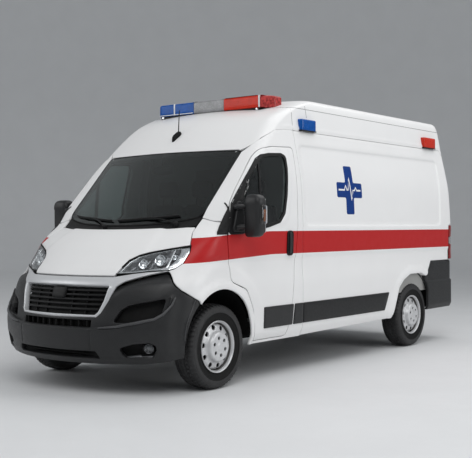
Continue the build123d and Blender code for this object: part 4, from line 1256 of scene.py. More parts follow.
        low = np.full(columns, 2.2)
        for _ in range(30):
            p, _along = FORM.point(t * total(low), low)
            target = np.interp(p[:, 1], gy, gz)
            target = np.where((p[:, 0] < WINDSHIELD_HALF) & (p[:, 1] < 0), 2.011, target)
            target = np.where(p[:, 1] > 2.575, 2.165, target)
            low = 0.5 * low + 0.5 * target
        low = low + 0.001
        fractions = np.concatenate([[0, .012], np.linspace(.05, 1, 12)])
        rows: list[np.ndarray] = []
        for fraction in fractions:
            rows.append(np.stack([t, low + (upper[0] - low) * fraction], axis=1))
        rows += [np.stack([t, np.full(columns, z)], axis=1) for z in upper[1:]]
        chart = Chart(Side.FRONT)
        rings = []
        hem = [(0.018, 0), (0.004, 0), (0.0012, 0)]
        for sink, k in hem:
            uv = np.stack([rows[k][:, 0] * total(rows[k][:, 1]), rows[k][:, 1]], axis=1)
            rings.append(chart.place(uv, sink))
        for row in rows:
            uv = np.stack([row[:, 0] * total(row[:, 1]), row[:, 1]], axis=1)
            z = row[:, 1]
            bead = 0.006 * np.exp(-((z - low - 0.028) / 0.012) ** 2)
            bead = bead * ease(uv[:, 0], 1.02, 1.10) * ease(t, 0.86, 0.80)
            rings.append(chart.place(uv, -bead))
        plateau = rings[-1]
        middle = np.array([0, plateau[:, 1].mean(), 0])
        for k, rise in ((.93, .001), (.8, .003), (.6, .005), (.4, .0065), (.2, .0075), (.02, .008)):
            rings.append(middle * (1 - k) + plateau * k * (1, 1, 0) + (0, 0, 2.557 + rise))
        full = []
        for ring in rings:
            mirror = ring[::-1] * (-1, 1, 1)
            full.append(np.vstack([ring, mirror[1:-1]]))
        count = len(full[0])
        faces = strip_faces([i * count for i in range(len(full))], count, True)
        faces.append(tuple(range((len(full) - 1) * count, len(full) * count)))
        verts = np.vstack(full)
        ribs = np.zeros(len(verts))
        top = verts[:, 2] > 2.548
        for at in np.linspace(0.25, 2.15, 8):
            ribs += 0.006 * np.exp(-((verts[:, 1] - at) / 0.05) ** 2) * ease(np.abs(verts[:, 0]), .62, .50)
        verts[:, 2] += np.where(top, ribs, 0)
        stands_for(solid("roof_panel", verts, faces, WHITE), "paint", "roof")
        lining = []
        for k in list(range(3, len(rings) - 6, 2)) + [len(rings) - 1]:
            ring = rings[k].copy()
            shrink = 0.94 if ring[:, 2].min() < 2.42 else 0.93
            ring[:, 0] *= shrink
            ring[:, 1] = middle[1] + (ring[:, 1] - middle[1]) * 0.975
            ring[:, 2] -= 0.05
            lining.append(np.vstack([ring, (ring[::-1] * (-1, 1, 1))[1:-1]]))
        faces = strip_faces([i * count for i in range(len(lining))], count, True, flip=True)
        solid("roof_liner", np.vstack(lining), faces, LINER)

    def cowl(self) -> None:
        """Black grating panel between hood and windshield."""
        front = [(x, height_at(x, cowl_y(x, GAP))) for x in np.linspace(-.795, .795, 40)]
        rear = [(x, height_at(x, cowl_y(x, .068))) for x in np.linspace(.795, -.795, 40)]
        chart = Chart(Side.FRONT)
        loop = chart.convert(joined(np.array(front), np.array(rear)), "x")
        loop = grow(loop, -.001)

        def ribs(u: np.ndarray, z: np.ndarray) -> np.ndarray:
            """Fine slots across the grating."""
            return -0.004 - 0.003 * (np.sin(u * 190) > 0.2) * (np.abs(u) < .74)

        mesh = panel_mesh(chart, loop, relief=ribs, step=.0085, edge=Edge(.003, ((0, .02),)))
        stands_for(solid("cowl_panel", *mesh, TRIM), "trim", "cowl")


@dataclass
class Windshield:
    """Glass, black border, seal and wipers of the windshield."""

    half: float = WINDSHIELD_HALF
    border: float = 0.050
    chart: Chart = field(default_factory=lambda: Chart(Side.FRONT))

    def outline(self, shrink: float, corner: float) -> Loop:
        """Outline in the chart, set in by shrink from the glass's edge.

        Args:
            shrink: inset from the edge.
            corner: corner radius.

        Returns:
            The outline.
        """
        foot = [(x, height_at(x, cowl_y(x, .070))) for x in np.linspace(0, self.half - .03, 12)]
        head = [(x, 2.010 - 0.010 * (x / self.half) ** 2) for x in np.linspace(self.half, 0, 10)]
        points = both_sides(foot + [(self.half, foot[-1][1] + .045)] + head)
        loop = self.chart.convert(rounded(points, corner), "x")
        return grow(loop, -shrink)

    def build(self) -> None:
        """Build the glass, its border, the seal and the wipers."""
        edge = self.outline(0.0, .03)
        glass = panel_mesh(self.chart, grow(edge, -.002), edge=THIN, raised=-.001, step=.05)
        stands_for(solid("windshield_glass", *glass, GLASS), "glass", "windshield")
        inner = self.outline(self.border, .05)
        border = panel_mesh(self.chart, grow(edge, -.003),
                            [inner], edge=Edge(.0004, ((0, .001),)), raised=-.0055,
                            step=.04)
        solid("windshield_border", *border, GLOSS_BLACK)
        seal = panel_mesh(self.chart, grow(edge, .0045), [grow(edge, -.006)], edge=Edge(.002, ((0, .012),)),
                          raised=.0004, step=.04)
        solid("windshield_seal", *seal, RUBBER)
        self.wiper("wiper_left", .62, (.60, -.02))
        self.wiper("wiper_right", -.12, (-.10, -.66))
        self.inside_mirror()

    def on_glass(self, x: float, z: float, out: float) -> np.ndarray:
        """Point above the glass at (x, z)."""
        loop = self.chart.convert(np.array([(x, z)]), "x")
        return self.chart.place(loop, -out)[0]

    def wiper(self, name: str, pivot_x: float, blade_x: tuple[float, float]) -> None:
        """Parked wiper: pivot cap, arm and blade.

        Args:
            name: object name.
            pivot_x: x of the pivot.
            blade_x: x of the blade's ends.
        """
        base_z = height_at(pivot_x, cowl_y(pivot_x, .035))
        base = self.on_glass(pivot_x, base_z, .010)
        middle_x = sum(blade_x) / 2
        blade = []
        for x in np.linspace(*blade_x, 12):
            bow = 1 - abs((x - middle_x) / (blade_x[1] - blade_x[0]))
            z = height_at(x, cowl_y(x, .085)) + .012 + .02 * bow
            blade.append(self.on_glass(x, z, .010))
        joint = blade[6]
        arm = [base + (joint - base) * t + np.array([0, 0, .020 * math.sin(t * math.pi)])
               for t in np.linspace(0, 1, 9)]
        parts = [lathe([(0, .022), (.012, .021), (.019, .014), (.021, 0), (.021, -.03)],
                       base, (0, -.5, .86), 20),
                 tube(arm, [.010 - .004 * t for t in np.linspace(0, 1, 9)], 10, .6),
                 tube([p + (0, -.004, .004) for p in blade], .0065, 8, 1.3),
                 tube([p + (0, .003, -.004) for p in blade], .0028, 6, 2.0)]
        solid(name, *merged(parts), TRIM)

    def inside_mirror(self) -> None:
        """Rear-view mirror on its stalk under the windshield's top."""
        at = self.on_glass(0, 1.915, -.09)
        parts = [pillow((.24, .035, .075), at, .03, crown=.004),
                 tube([self.on_glass(0, 1.97, -.008), at + (0, 0, .02)], .010, 10)]
        solid("inside_mirror", *merged(parts), INTERIOR)


@dataclass
class FrontDoor:
    """Cab door with its window, seals, handle, moulding and mirror.

    Attributes:
        name: "left" or "right".
        side: 1 or -1.
    """

    name: str
    side: int

    @property
    def body(self) -> str:
        """CAD body that the door's pieces move with."""
        return f"front_door_{self.name}"

    @property
    def chart(self) -> Chart:
        """Side chart on the door's side."""
        return Chart(Side.SIDE, self.side)

    def build(self) -> None:
        """Build every piece of the door."""
        self.skin()
        self.window()
        self.handle()
        self.mirror()

    def relief(self, u: np.ndarray, z: np.ndarray) -> np.ndarray:
        """The shell's side relief with a raised frame round the window."""
        pts = np.stack([u.ravel(), z.ravel()], axis=1)
        seal = -depth_in(pts, rounded(SEAL_OUTLINE, .05, .03)).reshape(u.shape)
        frame = .006 * ease(seal, .062, .046)
        return BodyShell().side_relief(u, z) + frame * ease(z, 1.31, 1.40)

    def skin(self) -> None:
        """Outer panel and its inner face, with the window opening."""
        loop = rounded(DOOR_OUTLINE, DOOR_CORNERS)
        seal = rounded(SEAL_OUTLINE, .05)
        hole = grow(seal, -.012)
        lines = [np.vstack([r, r[:1]]) for r in (grow(seal, .046), grow(seal, .062))]
        lines += [spaced([(-1.66, z), (-.62, z)], .024) for z in (1.040, 1.063, 1.086, .42)]
        lines += [np.array(arc(ARCH_CENTRE, ARCH_R + r, -6, 90, 40)) for r in (.045, .075)]
        mesh = panel_mesh(self.chart, loop, [hole], edge=DOOR_EDGE, hole_edge=Edge(.003, ((0, .050),)),
                          relief=self.relief, lines=lines, step=.026)
        stands_for(solid(f"cab_door_{self.name}", *mesh, STRIPED, self.body), "paint", self.body)
        for label, span in (("door", (-1.160, -.728)), ("post", (-.709, -.5535))):
            self.moulding(label, span)

    def moulding(self, label: str, span: tuple[float, float]) -> None:
        """Length of the black side moulding on the door or on the post behind it.

        Args:
            label: "door" or "post".
            span: y limits along the moulding's lower edge.
        """
        slope = .012 if label == "door" else .012
        rear_top = span[1] + (.020 if label == "door" else 0)
        front_top = span[0] + (.024 if label == "post" else 0)
        points = [(span[0], MOULDING_Z[0]), (span[1], MOULDING_Z[0]), (rear_top, MOULDING_Z[1]),
                  (front_top, MOULDING_Z[1])]
        mesh = panel_mesh(self.chart, rounded(points, slope), relief=BodyShell().side_relief, raised=.011,
                          edge=Edge(.007, ((0, .011),)))
        body = self.body if label == "door" else "body"
        solid(f"moulding_{label}_{self.name}", *mesh, BUMPER, body)

    def window(self) -> None:
        """Glass, black surround, seal lip, divider bar and the corner on the fender."""
        seal = rounded(SEAL_OUTLINE, .05)
        pane = rounded(GLASS_OUTLINE, .04)
        surround = panel_mesh(self.chart, seal, [pane], edge=Edge(.004, ((0, .018),)), raised=.004 + .003,
                              hole_edge=Edge(.003, ((0, .018),)))
        solid(f"door_window_seal_{self.name}", *surround, TRIM, self.body)
        glass = panel_mesh(self.chart, grow(pane, .008), edge=THIN, raised=-.004, step=.05)
        stands_for(solid(f"door_glass_{self.name}", *glass, SIDE_GLASS, self.body), "glass",
                   f"front_door_glass_{self.name}")
        bar = rounded([(-1.228, 1.345), (-1.196, 1.345), (-1.170, 1.900), (-1.196, 1.890)], .004)
        divider = panel_mesh(self.chart, bar, edge=Edge(.003, ((0, .02),)), raised=.003)
        solid(f"window_divider_{self.name}", *divider, TRIM, self.body)
        corner = rounded([(-1.800, 1.266), (-1.790, 1.290),
                          (-1.726, 1.363), (-1.665, 1.443), (-1.606, 1.512),
                          (-1.629, 1.436), (-1.650, 1.386), (-1.664, 1.340), (-1.668, 1.266)],
                         [.006, .03, .1, .1, .003, .05, .05, .05, .004])
        sail = panel_mesh(self.chart, corner, edge=Edge(.004, ((0, .012),)), raised=.009)
        strip = self.chart.at([("y", y - .003, z) for y,
                               z in spaced([(-1.670, 1.262), *DOOR_OUTLINE[:-3:-1]], .02)])
        sail = merged([sail, tube(self.chart.place(strip, -.0015), .0065, 10)])
        solid(f"window_corner_{self.name}", *sail, TRIM, "body")
        inner = rounded([(-1.26, .42), (-.78, .42), (-.68, .80),
                         (-.66, 1.30), (-1.57, 1.24), (-1.55, .90), (-1.36, .84)], .06)
        card = panel_mesh(self.chart, inner, relief=lambda u, z: -.010 * ease(np.abs(z - .72), .16, .12),
                          edge=Edge(.006, ((0, .012),)), raised=-.058)
        solid(f"door_card_{self.name}", *card, INTERIOR, self.body)

    def handle(self) -> None:
        """Upright black handle: a rounded tub and its grip."""
        tub = rounded([(-.818, 1.070), (-.724, 1.070), (-.716, 1.295), (-.808, 1.295)], .040)
        dish = panel_mesh(self.chart, tub, edge=Edge(.005, ((0, .014),)), raised=.013,
                          relief=lambda u,
                          z: -.010 * ease(depth_in(np.stack([u, z], axis=1), tub), .008, .026),
                          lines=[grow(tub, -.010), grow(tub, -.022)], step=.012)
        solid(f"door_handle_tub_{self.name}", *dish, TRIM, self.body)
        bar = rounded([(-.787, 1.088), (-.752, 1.088), (-.746, 1.278), (-.779, 1.278)], .016)
        grip = panel_mesh(self.chart, bar, edge=Edge(.007, ((0, .012),)), raised=.016, step=.012,
                          relief=lambda u, z: .004 * np.sin((z - 1.088) / .19 * math.pi))
        solid(f"door_handle_{self.name}", *grip, BUMPER, self.body)

    def mirror(self) -> None:
        """Two-part mirror head on two arms, with its indicator."""
        s = self.side
        levels = [(1.244, .050, .045, .020), (1.258, .074, .060, .010), (1.285, .084, .068, .004),
                  (1.330, .087, .070, 0), (1.420, .088, .070, 0),
                  (1.500, .088, .070, 0), (1.512, .092, .073, 0),
                  (1.540, .091, .073, 0), (1.568, .083, .068, 0),
                  (1.588, .066, .056, .002), (1.598, .040, .036, .006)]
        rings = []
        turns = np.linspace(0, 2 * math.pi, 40, endpoint=False)
        for z, a, b, inward in levels:
            power = 0.55
            cx, sy = np.cos(turns), np.sin(turns)
            x = np.sign(cx) * np.abs(cx) ** power * a
            y = np.sign(sy) * np.abs(sy) ** power * b
            y = np.where(y > 0, y * .72, y * 1.05)
            rings.append(np.stack([s * (1.166 - inward + x), -1.478 + y - .10 * x, np.full(40, z)], axis=1))
        verts = np.vstack(rings)
        faces = strip_faces([i * 40 for i in range(len(rings))], 40, True, flip=s < 0)
        bottom, top = tuple(range(39, -1, -1)), tuple(range(len(verts) - 40, len(verts)))
        faces += [bottom[::s], top[::s]]
        head = solid(f"mirror_head_{self.name}", verts, faces, BUMPER, self.body, sharp=50)
        stands_for(head, "trim", f"mirror_{self.name}")
        arms = []
        for z, y in ((1.330, -1.500), (1.500, -1.505)):
            path = [(s * 1.022, y - .052, z - .006), (s * 1.045, y - .03, z), (s * 1.095, y, z)]
            arms.append(tube(path, [.044, .034, .032], 14, .62))
        foot = [(-1.625, 1.290), (-1.450, 1.290), (-1.475, 1.535), (-1.535, 1.545)]
        arms.append(panel_mesh(self.chart, rounded(foot, .03), edge=Edge(.008, ((0, .02),)), raised=.022))
        solid(f"mirror_arms_{self.name}", *merged(arms), BUMPER, self.body)
        for label, low, high in (("main", 1.392, 1.560), ("wide", 1.280, 1.376)):
            pane = pillow((.140, .006, high - low), (s * 1.163, -1.4235, (low + high) / 2), .018,
                          Matrix.Rotation(-.10 * s, 3, "Z"), crown=.002)
            solid(f"mirror_{label}_{self.name}", *pane, MIRROR, self.body)
        lens = pillow((.024, .088, .150), (s * 1.2525, -1.484, 1.430),
                      .011, Matrix.Rotation(-.05 * s, 3, "Z"),
                      crown=.003)
        solid(f"mirror_indicator_{self.name}", *lens, CLEAR, self.body)
        back = pillow((.008, .080, .142), (s * 1.2475, -1.484, 1.430), .004)
        solid(f"mirror_reflector_{self.name}", *back, SILVER, self.body)
        bulb = pillow((.012, .030, .100), (s * 1.256, -1.480, 1.424), .005)
        solid(f"mirror_bulb_{self.name}", *bulb, AMBER_LENS, self.body)


@dataclass
class SideTrim:
    """Mouldings, emblem and sliding-door fittings fixed to the body sides."""

    emblem_at: tuple[float, float] = (.328, 1.690)
    emblem_size: float = .480

    def build(self) -> None:
        """Build the trim of both sides."""
        for name, side in SIDES:
            chart = Chart(Side.SIDE, side)
            start = BODY_SEAM_Y + .0035
            points = [(start, MOULDING_Z[0]), (.999, MOULDING_Z[0]),
                      (1.090, MOULDING_Z[1]), (start, MOULDING_Z[1])]
            strips = [points] if side > 0 else [
                [(start, .446), (-.524, .446), (-.524, .632), (start, .632)],
                [(-.506, .446), (.691, .446), (.691, .632), (-.506, .632)],
                [(.709, .446), (.999, .446), (1.090, .632), (.709, .632)]]
            for k, strip in enumerate(strips):
                mesh = panel_mesh(chart, rounded(strip, .008), relief=BodyShell().side_relief, raised=.011,
                                  edge=Edge(.007, ((0, .011),)), step=.05)
                solid(f"moulding_side_{name}_{k}", *mesh, MOULDING)
            self.emblem(name, chart)
            if side < 0:
                self.sliding_door_parts(chart)

    def emblem(self, name: str, chart: Chart) -> None:
        """Plain blue cross with a white pulse line over it.

        Args:
            name: "left" or "right".
            chart: side chart.
        """
        cy, cz = self.emblem_at
        half, arm = self.emblem_size / 2, self.emblem_size * .155
        cross = [(-arm, -half), (arm, -half), (arm, -arm),
                 (half, -arm), (half, arm), (arm, arm), (arm, half),
                 (-arm, half), (-arm, arm), (-half, arm), (-half, -arm), (-arm, -arm)]
        loop = rounded([(cy + a, cz + b) for a, b in cross], .022)
        relief = BodyShell().body_relief
        mesh = panel_mesh(chart, loop, relief=relief, raised=.0014, edge=DECAL)
        solid(f"emblem_{name}", *mesh, DECAL_BLUE)
        pulse = [(-.21, 0), (-.10, 0), (-.075, .045), (-.05, 0),
                 (-.03, 0), (-.005, .13), (.035, -.105), (.062, 0),
                 (.095, 0), (.115, .03), (.135, 0), (.21, 0)]
        if name == "right":
            pulse = [(-a, b) for a, b in reversed(pulse)]
        line = np.array([(cy + a, cz + b) for a, b in pulse])
        width = .0085
        way = np.gradient(line, axis=0)
        normal = np.stack([-way[:, 1], way[:, 0]], axis=1) / np.linalg.norm(way, axis=1)[:, None]
        band = rounded(np.vstack([line + normal * width, (line - normal * width)[::-1]]), .003, .012)
        mesh = panel_mesh(chart, band, relief=relief, raised=.0026, edge=DECAL, step=.03)
        solid(f"emblem_line_{name}", *mesh, DECAL_WHITE)

    def sliding_door_parts(self, chart: Chart) -> None:
        """Handle and track of the sliding side door."""
        tub = rounded([(-.400, 1.100), (-.300, 1.100), (-.300, 1.290), (-.400, 1.290)], .038)
        dish = panel_mesh(chart, tub, edge=Edge(.005, ((0, .008),)), raised=.007, step=.014)
        grip = panel_mesh(chart, grow(tub, -.022), edge=Edge(.008, ((0, .012),)), raised=.018, step=.014)
        solid("sliding_door_handle", *merged([dish, grip]), TRIM)
        rail = rounded([(.730, 1.185), (1.900, 1.185), (1.900, 1.232), (.730, 1.232)], .012)
        track = panel_mesh(chart, rail, edge=Edge(.004, ((0, .006),)), raised=-.004, step=.05,
                           relief=lambda u, z: .008 * ease(np.abs(z - 1.2085), .012, .016))
        solid("sliding_door_track", *track, GLOSS_BLACK)


def normal_at(chart: Chart, u: float, z: float) -> tuple[np.ndarray, np.ndarray]:
    """Point of a chart and its outward normal."""
    uv = np.array([(u, z)])
    point = chart.place(uv, 0.0)[0]
    out = chart.place(uv, -1.0)[0] - point
    return point, out / np.linalg.norm(out)


GRILLE_MOUTH = [(0, .872), (.490, .869), (.471, .754), (.438, .661), (.416, .642), (0, .641)]
BUMPER_TOP = [("x", .828, .982), ("x", .739, .960), ("x", .657, .935), ("x", .588, .904), ("x", .541, .866)]
FRAME_SIDE = [("x", .506, .755), ("x", .459, .656), ("x", .429, .625), ("x", 0, .620)]
NOSTRIL = [("x", .568, .588), ("x", .615, .682), ("x", .658, .714), ("x", .726, .734), ("x", .808, .750),
           ("x", .905, .772), ("x", .893, .664), ("x", .875, .625), ("x", .832, .602), ("x", .720, .588)]
FOG_RECESS = [("x", .624, .392), ("x", .722, .425), ("x", .832, .436), ("x", .866, .412), ("x", .866, .372),
              ("x", .838, .328), ("x", .660, .322), ("x", .640, .345)]
LEDGE = [(0, .540), (.402, .540), (.476, .540), (.607, .550), (.754, .580), (.857, .605), (.893, .640),
         (.912, .700), (.925, .780)]


@dataclass
class FrontEnd:
    """Bumper, silver frame, grille, headlamps and fog lamps."""

    chart: Chart = field(default_factory=lambda: Chart(Side.FRONT))

    def build(self) -> None:
        """Build every piece of the nose below the hood."""
        self.bumper()
        self.ledge_lip()
        self.frame_and_grille()
        for name, side in SIDES:
            self.headlamp(name, side)
            self.fog_lamp(name, side)

    def mirrored_loop(self, half: Loop) -> Loop:
        """Close a left-half chart line, middle line to middle line, with its mirror image."""
        return joined(half, (half * (-1, 1))[::-1])

    def ledge(self) -> tuple[np.ndarray, np.ndarray]:
        """Chart coordinates of the line over the bumper's proud lower part."""
        pts = self.chart.at([("x", x, z) for x, z in LEDGE])
        return pts[:, 0], pts[:, 1]

    def relief(self, u: np.ndarray, z: np.ndarray) -> np.ndarray:
        """Ledge, rounded top, side crease and number-plate panel of the bumper."""
        lu, lz = self.ledge()
        below = np.interp(np.abs(u), lu, lz) - z
        lower = .026 * ease(below, -.010, .007) * ease(np.abs(u), lu[-1] + .10, lu[-1] - .04)
        top = self.chart.at(BUMPER_TOP)[::-1]
        fall = np.interp(np.abs(u), top[:, 0], top[:, 1]) - z
        upper = -.036 * np.clip((.078 - fall) / .078, 0, 1) * ease(np.abs(u), .50, .56)
        crease = .011 * ease(np.abs(u) - np.interp(z, [.30, .458, .649, .807], [1.175, 1.17, 1.205, 1.245]),
                             -.007, .007)
        chin = -.018 * ease(z, .330, .262)
        plate = np.maximum(np.abs(np.abs(u) - .402), 0)
        seam = -.003 * (plate < .0035) * (z > .375) * (z < .54)
        return lower + upper + crease * ease(z, .86, .78) + chin + seam

    def ledge_lip(self) -> None:
        """Rounded lip under each nostril, along the ledge, and a bead on each side crease, both in lighter
        plastic as a painted highlight.
        """
        lips = []
        for side in (1, -1):
            path = [(.470, .545), (.607, .556), (.754, .586),
                    (.857, .612), (.900, .650), (.932, .720), (.944, .780)]
            uv = self.chart.at([("x", x, z) for x, z in spaced(np.array(path), .012)]) * (side, 1)
            rings = self.chart.place(uv, -(.024 + self.relief(uv[:, 0], uv[:, 1]) * .2))
            size = .0125 * np.sin(np.linspace(.12, math.pi - .12, len(uv))) ** .5
            lips.append(tube(rings, list(size), 12))
            z = np.linspace(.44, .835, 24)
            edge = np.stack([np.interp(z, [.30, .458, .649, .807], [1.175, 1.17, 1.205, 1.245]) * side, z],
                            axis=1)
            along = self.chart.place(edge, -self.relief(edge[:, 0], edge[:, 1]) + .0015)
            lips.append(tube(along, .0042, 8))
        # The lips and beads are lighter than the bumper: painted highlight.
        solid("bumper_lips", *merged(lips), BUMPER_PAINTED_HIGHLIGHT)

    def bumper(self) -> None:
        """Textured bumper with its openings, and the dark liner behind them."""
        chart = self.chart
        arch = [("y", y, z) for y, z in arc(ARCH_CENTRE, ARCH_R + .004, 196, 133, 22)]
        joint = [("y", y - .004, z) for y, z in JOINT_LINE[1:-1]] + [("x", x - .004, z - .002) for _,
                                                                     x, z in CHEEK_LINE]
        base = [("x", 0, .256), ("x", .45, .257), ("x", .75, .262), ("y", -2.30, .276)]
        half = chart.at(base + arch + joint + BUMPER_TOP + FRAME_SIDE)
        half[:, 1] += np.where((half[:, 1] > .84) & (half[:, 0] < 1.12), -.003, 0)
        loop = self.mirrored_loop(half)
        nostril = rounded(chart.at(NOSTRIL), .02)
        fog = rounded(chart.at(FOG_RECESS), .02)
        slot = rounded([(-.398, .547), (.398, .547), (.398, .602), (-.398, .602)], .008)
        mouth = rounded([(-.470, .308), (.470, .308), (.440, .366), (-.440, .366)], .014)
        holes = [slot, mouth, nostril, (nostril * (-1, 1))[::-1], fog, (fog * (-1, 1))[::-1]]
        lu, lz = self.ledge()
        path = spaced(np.stack([lu, lz], axis=1), .02)
        lines = []
        for shift in (-.007, -.001, .004, .010):
            for sign in (1, -1):
                lines.append((path + (0, shift)) * (sign, 1))
        for z in (.262, .296, .330):
            lines.append(spaced([(-1.2, z), (1.2, z)], .03))
        for sign in (1, -1):
            for shift in (-.007, 0, .007):
                lines.append(spaced([(sign * (1.175 + shift), .30), (sign * (1.17 + shift), .458),
                                     (sign * (1.205 + shift), .649), (sign * (1.245 + shift), .807)], .03))
            for shift in (-.004, 0, .004):
                lines.append(spaced([(sign * .402 + shift, .377), (sign * .402 + shift, .536)], .02))
            top = chart.at(BUMPER_TOP)
            lines += [spaced((top + (0, -d)) * (sign, 1), .03) for d in (.020, .045, .070)]
        mesh = panel_mesh(chart, loop, holes, relief=self.relief, lines=lines, step=.024,
                          edge=Edge(.004, ((0, .016),)), hole_edge=Edge(.007, ((0, .012), (.004, .050))))
        stands_for(solid("front_bumper_skin", *mesh, BUMPER), "trim", "front_bumper")
        back = [("x", 0, .28), ("x", .75, .285), ("y", -2.25, .30), ("y", -2.19, .45), ("x", .93, .80),
                ("x", .80, .93), ("x", .60, .86), ("x", .52, .70), ("x", 0, .60)]
        liner = panel_mesh(chart, self.mirrored_loop(chart.at(back)), raised=-.066, step=.06,
                           edge=Edge(.002, ((0, .006),)))
        sump = pillow((.960, .016, .110), (0, -2.560, .338), .006)
        solid("front_bumper_liner", *merged([liner, sump]), RUBBER)
        ribs = []
        for x in np.linspace(-.36, .36, 10):
            point, out = normal_at(chart, x, .574)
            ribs.append(pillow((.009, .04, .056), point - out * .028, .003))
        for z in (.322, .348):
            bar = [chart.place(np.array([(x, z)]), .03)[0] for x in np.linspace(-.46, .46, 24)]
            ribs.append(tube(bar, .006, 8))
        solid("front_bumper_ribs", *merged(ribs), RUBBER)

    def frame_and_grille(self) -> None:
        """Silver band and frame, with black slats and a blank badge inside."""
        chart = self.chart
        half = chart.at([("x", 0, .935), ("x", .474, .936),
                         ("x", .603, .960), ("x", .712, .975), ("x", .842, .983)]
                        + BUMPER_TOP + FRAME_SIDE)
        mouth = chart.convert(rounded(both_sides(GRILLE_MOUTH), .014), "x")
        loop = self.mirrored_loop(half)

        def relief(u: np.ndarray, z: np.ndarray) -> np.ndarray:
            """Convex band on top and a proud frame round the mouth."""
            band = .006 * np.cos(np.clip((z - .902) / .034, -1, 1) * math.pi / 2)
            edge = -depth_in(np.stack([u, z], axis=1), mouth)
            frame_bead = .009 * ease(edge, .020, .008) * ease(z, .876, .856)
            return band * ease(z, .868, .876) + frame_bead

        lines = [np.vstack([r, r[:1]]) for r in (grow(mouth, .012), grow(mouth, .020))]
        mesh = panel_mesh(chart, loop, [mouth], relief=relief, lines=lines, step=.014,
                          edge=Edge(.003, ((0, .014),)), hole_edge=Edge(.007, ((0, .045),)))
        stands_for(solid("grille_surround", *mesh, SILVER), "silver", "grille_frame")
        back = panel_mesh(chart, grow(mouth, .004), raised=-.052, edge=Edge(.001, ((0, .003),)), step=.05)
        stands_for(solid("grille_back", *back, RUBBER), "grille_black", "grille")
        slats = []
        for z in (.690, .727, .764, .801, .838):
            reach = float(np.interp(z, [.646, .663, .754, .864], [.400, .424, .455, .472]))
            slat = rounded([(-reach, z - .009), (reach, z - .009), (reach, z + .009), (-reach, z + .009)],
                           .005)
            slats.append(panel_mesh(chart, slat, raised=-.022, edge=Edge(.007, ((0, .02),)), step=.03))
        for x in (-.30, -.15, .15, .30):
            bar = rounded([(x - .004, .652), (x + .004, .652), (x + .004, .860), (x - .004, .860)], .002)
            slats.append(panel_mesh(chart, bar, raised=-.034, edge=Edge(.002, ((0, .014),)), step=.03))
        solid("grille_slats", *merged(slats), TRIM)
        badge = rounded([(-.075, .770), (.075, .770), (.082, .858), (-.082, .858)], .022)
        plate = panel_mesh(chart, badge, raised=-.010, edge=Edge(.010, ((0, .02),)), step=.016,
                           relief=lambda u, z: .004 * (1 - (u / .08) ** 2))
        solid("grille_badge", *plate, TRIM)

    def headlamp(self, name: str, side: int) -> None:
        """Almond headlamp: clear lens, dark bowl, reflectors and bright rims.

        Args:
            name: "left" or "right".
            side: 1 or -1.
        """
        chart = Chart(Side.FRONT, side)
        edge = grow(chart.convert(rounded(LAMP_OUTLINE, .018, .012), "x"), -.002)
        lens = panel_mesh(chart, edge, edge=Edge(.003, ((0, .005),)), step=.03)
        stands_for(solid(f"headlamp_lens_{name}", *lens, CLEAR), "lamp_clear", "front_lamps")
        inner_points = [(.500, .979), (.507, 1.010), (.521, 1.054),
                        (.570, 1.092), (.632, 1.114), (.772, 1.145),
                        (.850, 1.160), (.860, 1.120), (.851, 1.064),
                        (.838, 1.036), (.816, 1.014), (.712, 1.001),
                        (.605, .986)]
        inner = chart.convert(rounded(inner_points, .016, .012), "x")
        rim = panel_mesh(chart, grow(edge, -.001), [inner], raised=-.009, edge=Edge(.001, ((0, .004),)),
                         hole_edge=Edge(.004, ((0, .030),)), step=.012)
        solid(f"headlamp_rim_{name}", *rim, CHROME)

        def bowl(u: np.ndarray, z: np.ndarray) -> np.ndarray:
            """Hollow of the lamp with stepped facets."""
            depth = depth_in(np.stack([u, z], axis=1), inner)
            steps = .003 * np.sin(u * 130) * ease(depth, .01, .03)
            return -.040 * ease(depth, .0, .030) + steps

        cup = panel_mesh(chart, grow(inner, .003), raised=-.016, relief=bowl, step=.009,
                         lines=[grow(inner, -.010), grow(inner, -.024)], edge=Edge(.001, ((0, .004),)))
        solid(f"headlamp_bowl_{name}", *cup, SILVER_DARK)
        shapes, bulbs = [], []
        for x, z, radius in ((.735, 1.072, .046), (.625, 1.042, .040), (.832, 1.092, .024)):
            u = float(FORM.from_x(np.array([x]), np.array([z]))[0])
            point, out = normal_at(chart, u, z)
            out = out * .55 + np.array([0, -.45, 0])
            out /= np.linalg.norm(out)
            centre = point - out * .050
            profile = [(radius * t, .030 * t * t) for t in np.linspace(0.02, 1, 9)]
            profile += [(radius * 1.06, .031), (radius * 1.08, .026)]
            shapes.append(lathe(profile, centre, out, 28))
            bulbs.append(lathe([(0, .020), (.008, .018), (.011, .010), (.011, 0)], centre, out, 16))
        solid(f"headlamp_reflectors_{name}", *merged(shapes), CHROME)
        solid(f"headlamp_bulbs_{name}", *merged(bulbs), CLEAR)
        divider = rounded([(.796, 1.148), (.812, 1.151),
                           (.822, 1.060), (.826, 1.012), (.808, 1.008), (.805, 1.06)],
                          .004)
        strip = panel_mesh(chart, chart.convert(divider, "x"),
                           raised=-.011, edge=Edge(.004, ((0, .035),)), step=.012)
        solid(f"headlamp_divider_{name}", *strip, CHROME)
        seals = []
        for points, radius in ((LAMP_OUTLINE[1:7], .0075), ([LAMP_OUTLINE[0], *LAMP_OUTLINE[:8:-1]], .004)):
            line = self.chart.at([("x", x, z) for x, z in spaced(np.array(points), .02)]) * (side, 1)
            seals.append(tube(self.chart.place(line, .0005), radius, 8))
        solid(f"headlamp_seal_{name}", *merged(seals), RUBBER)
        tray = panel_mesh(chart, grow(edge, .016), [grow(edge, -.012)], raised=-.020, step=.04,
                          edge=Edge(.001, ((0, .004),)))
        solid(f"headlamp_tray_{name}", *tray, RUBBER)

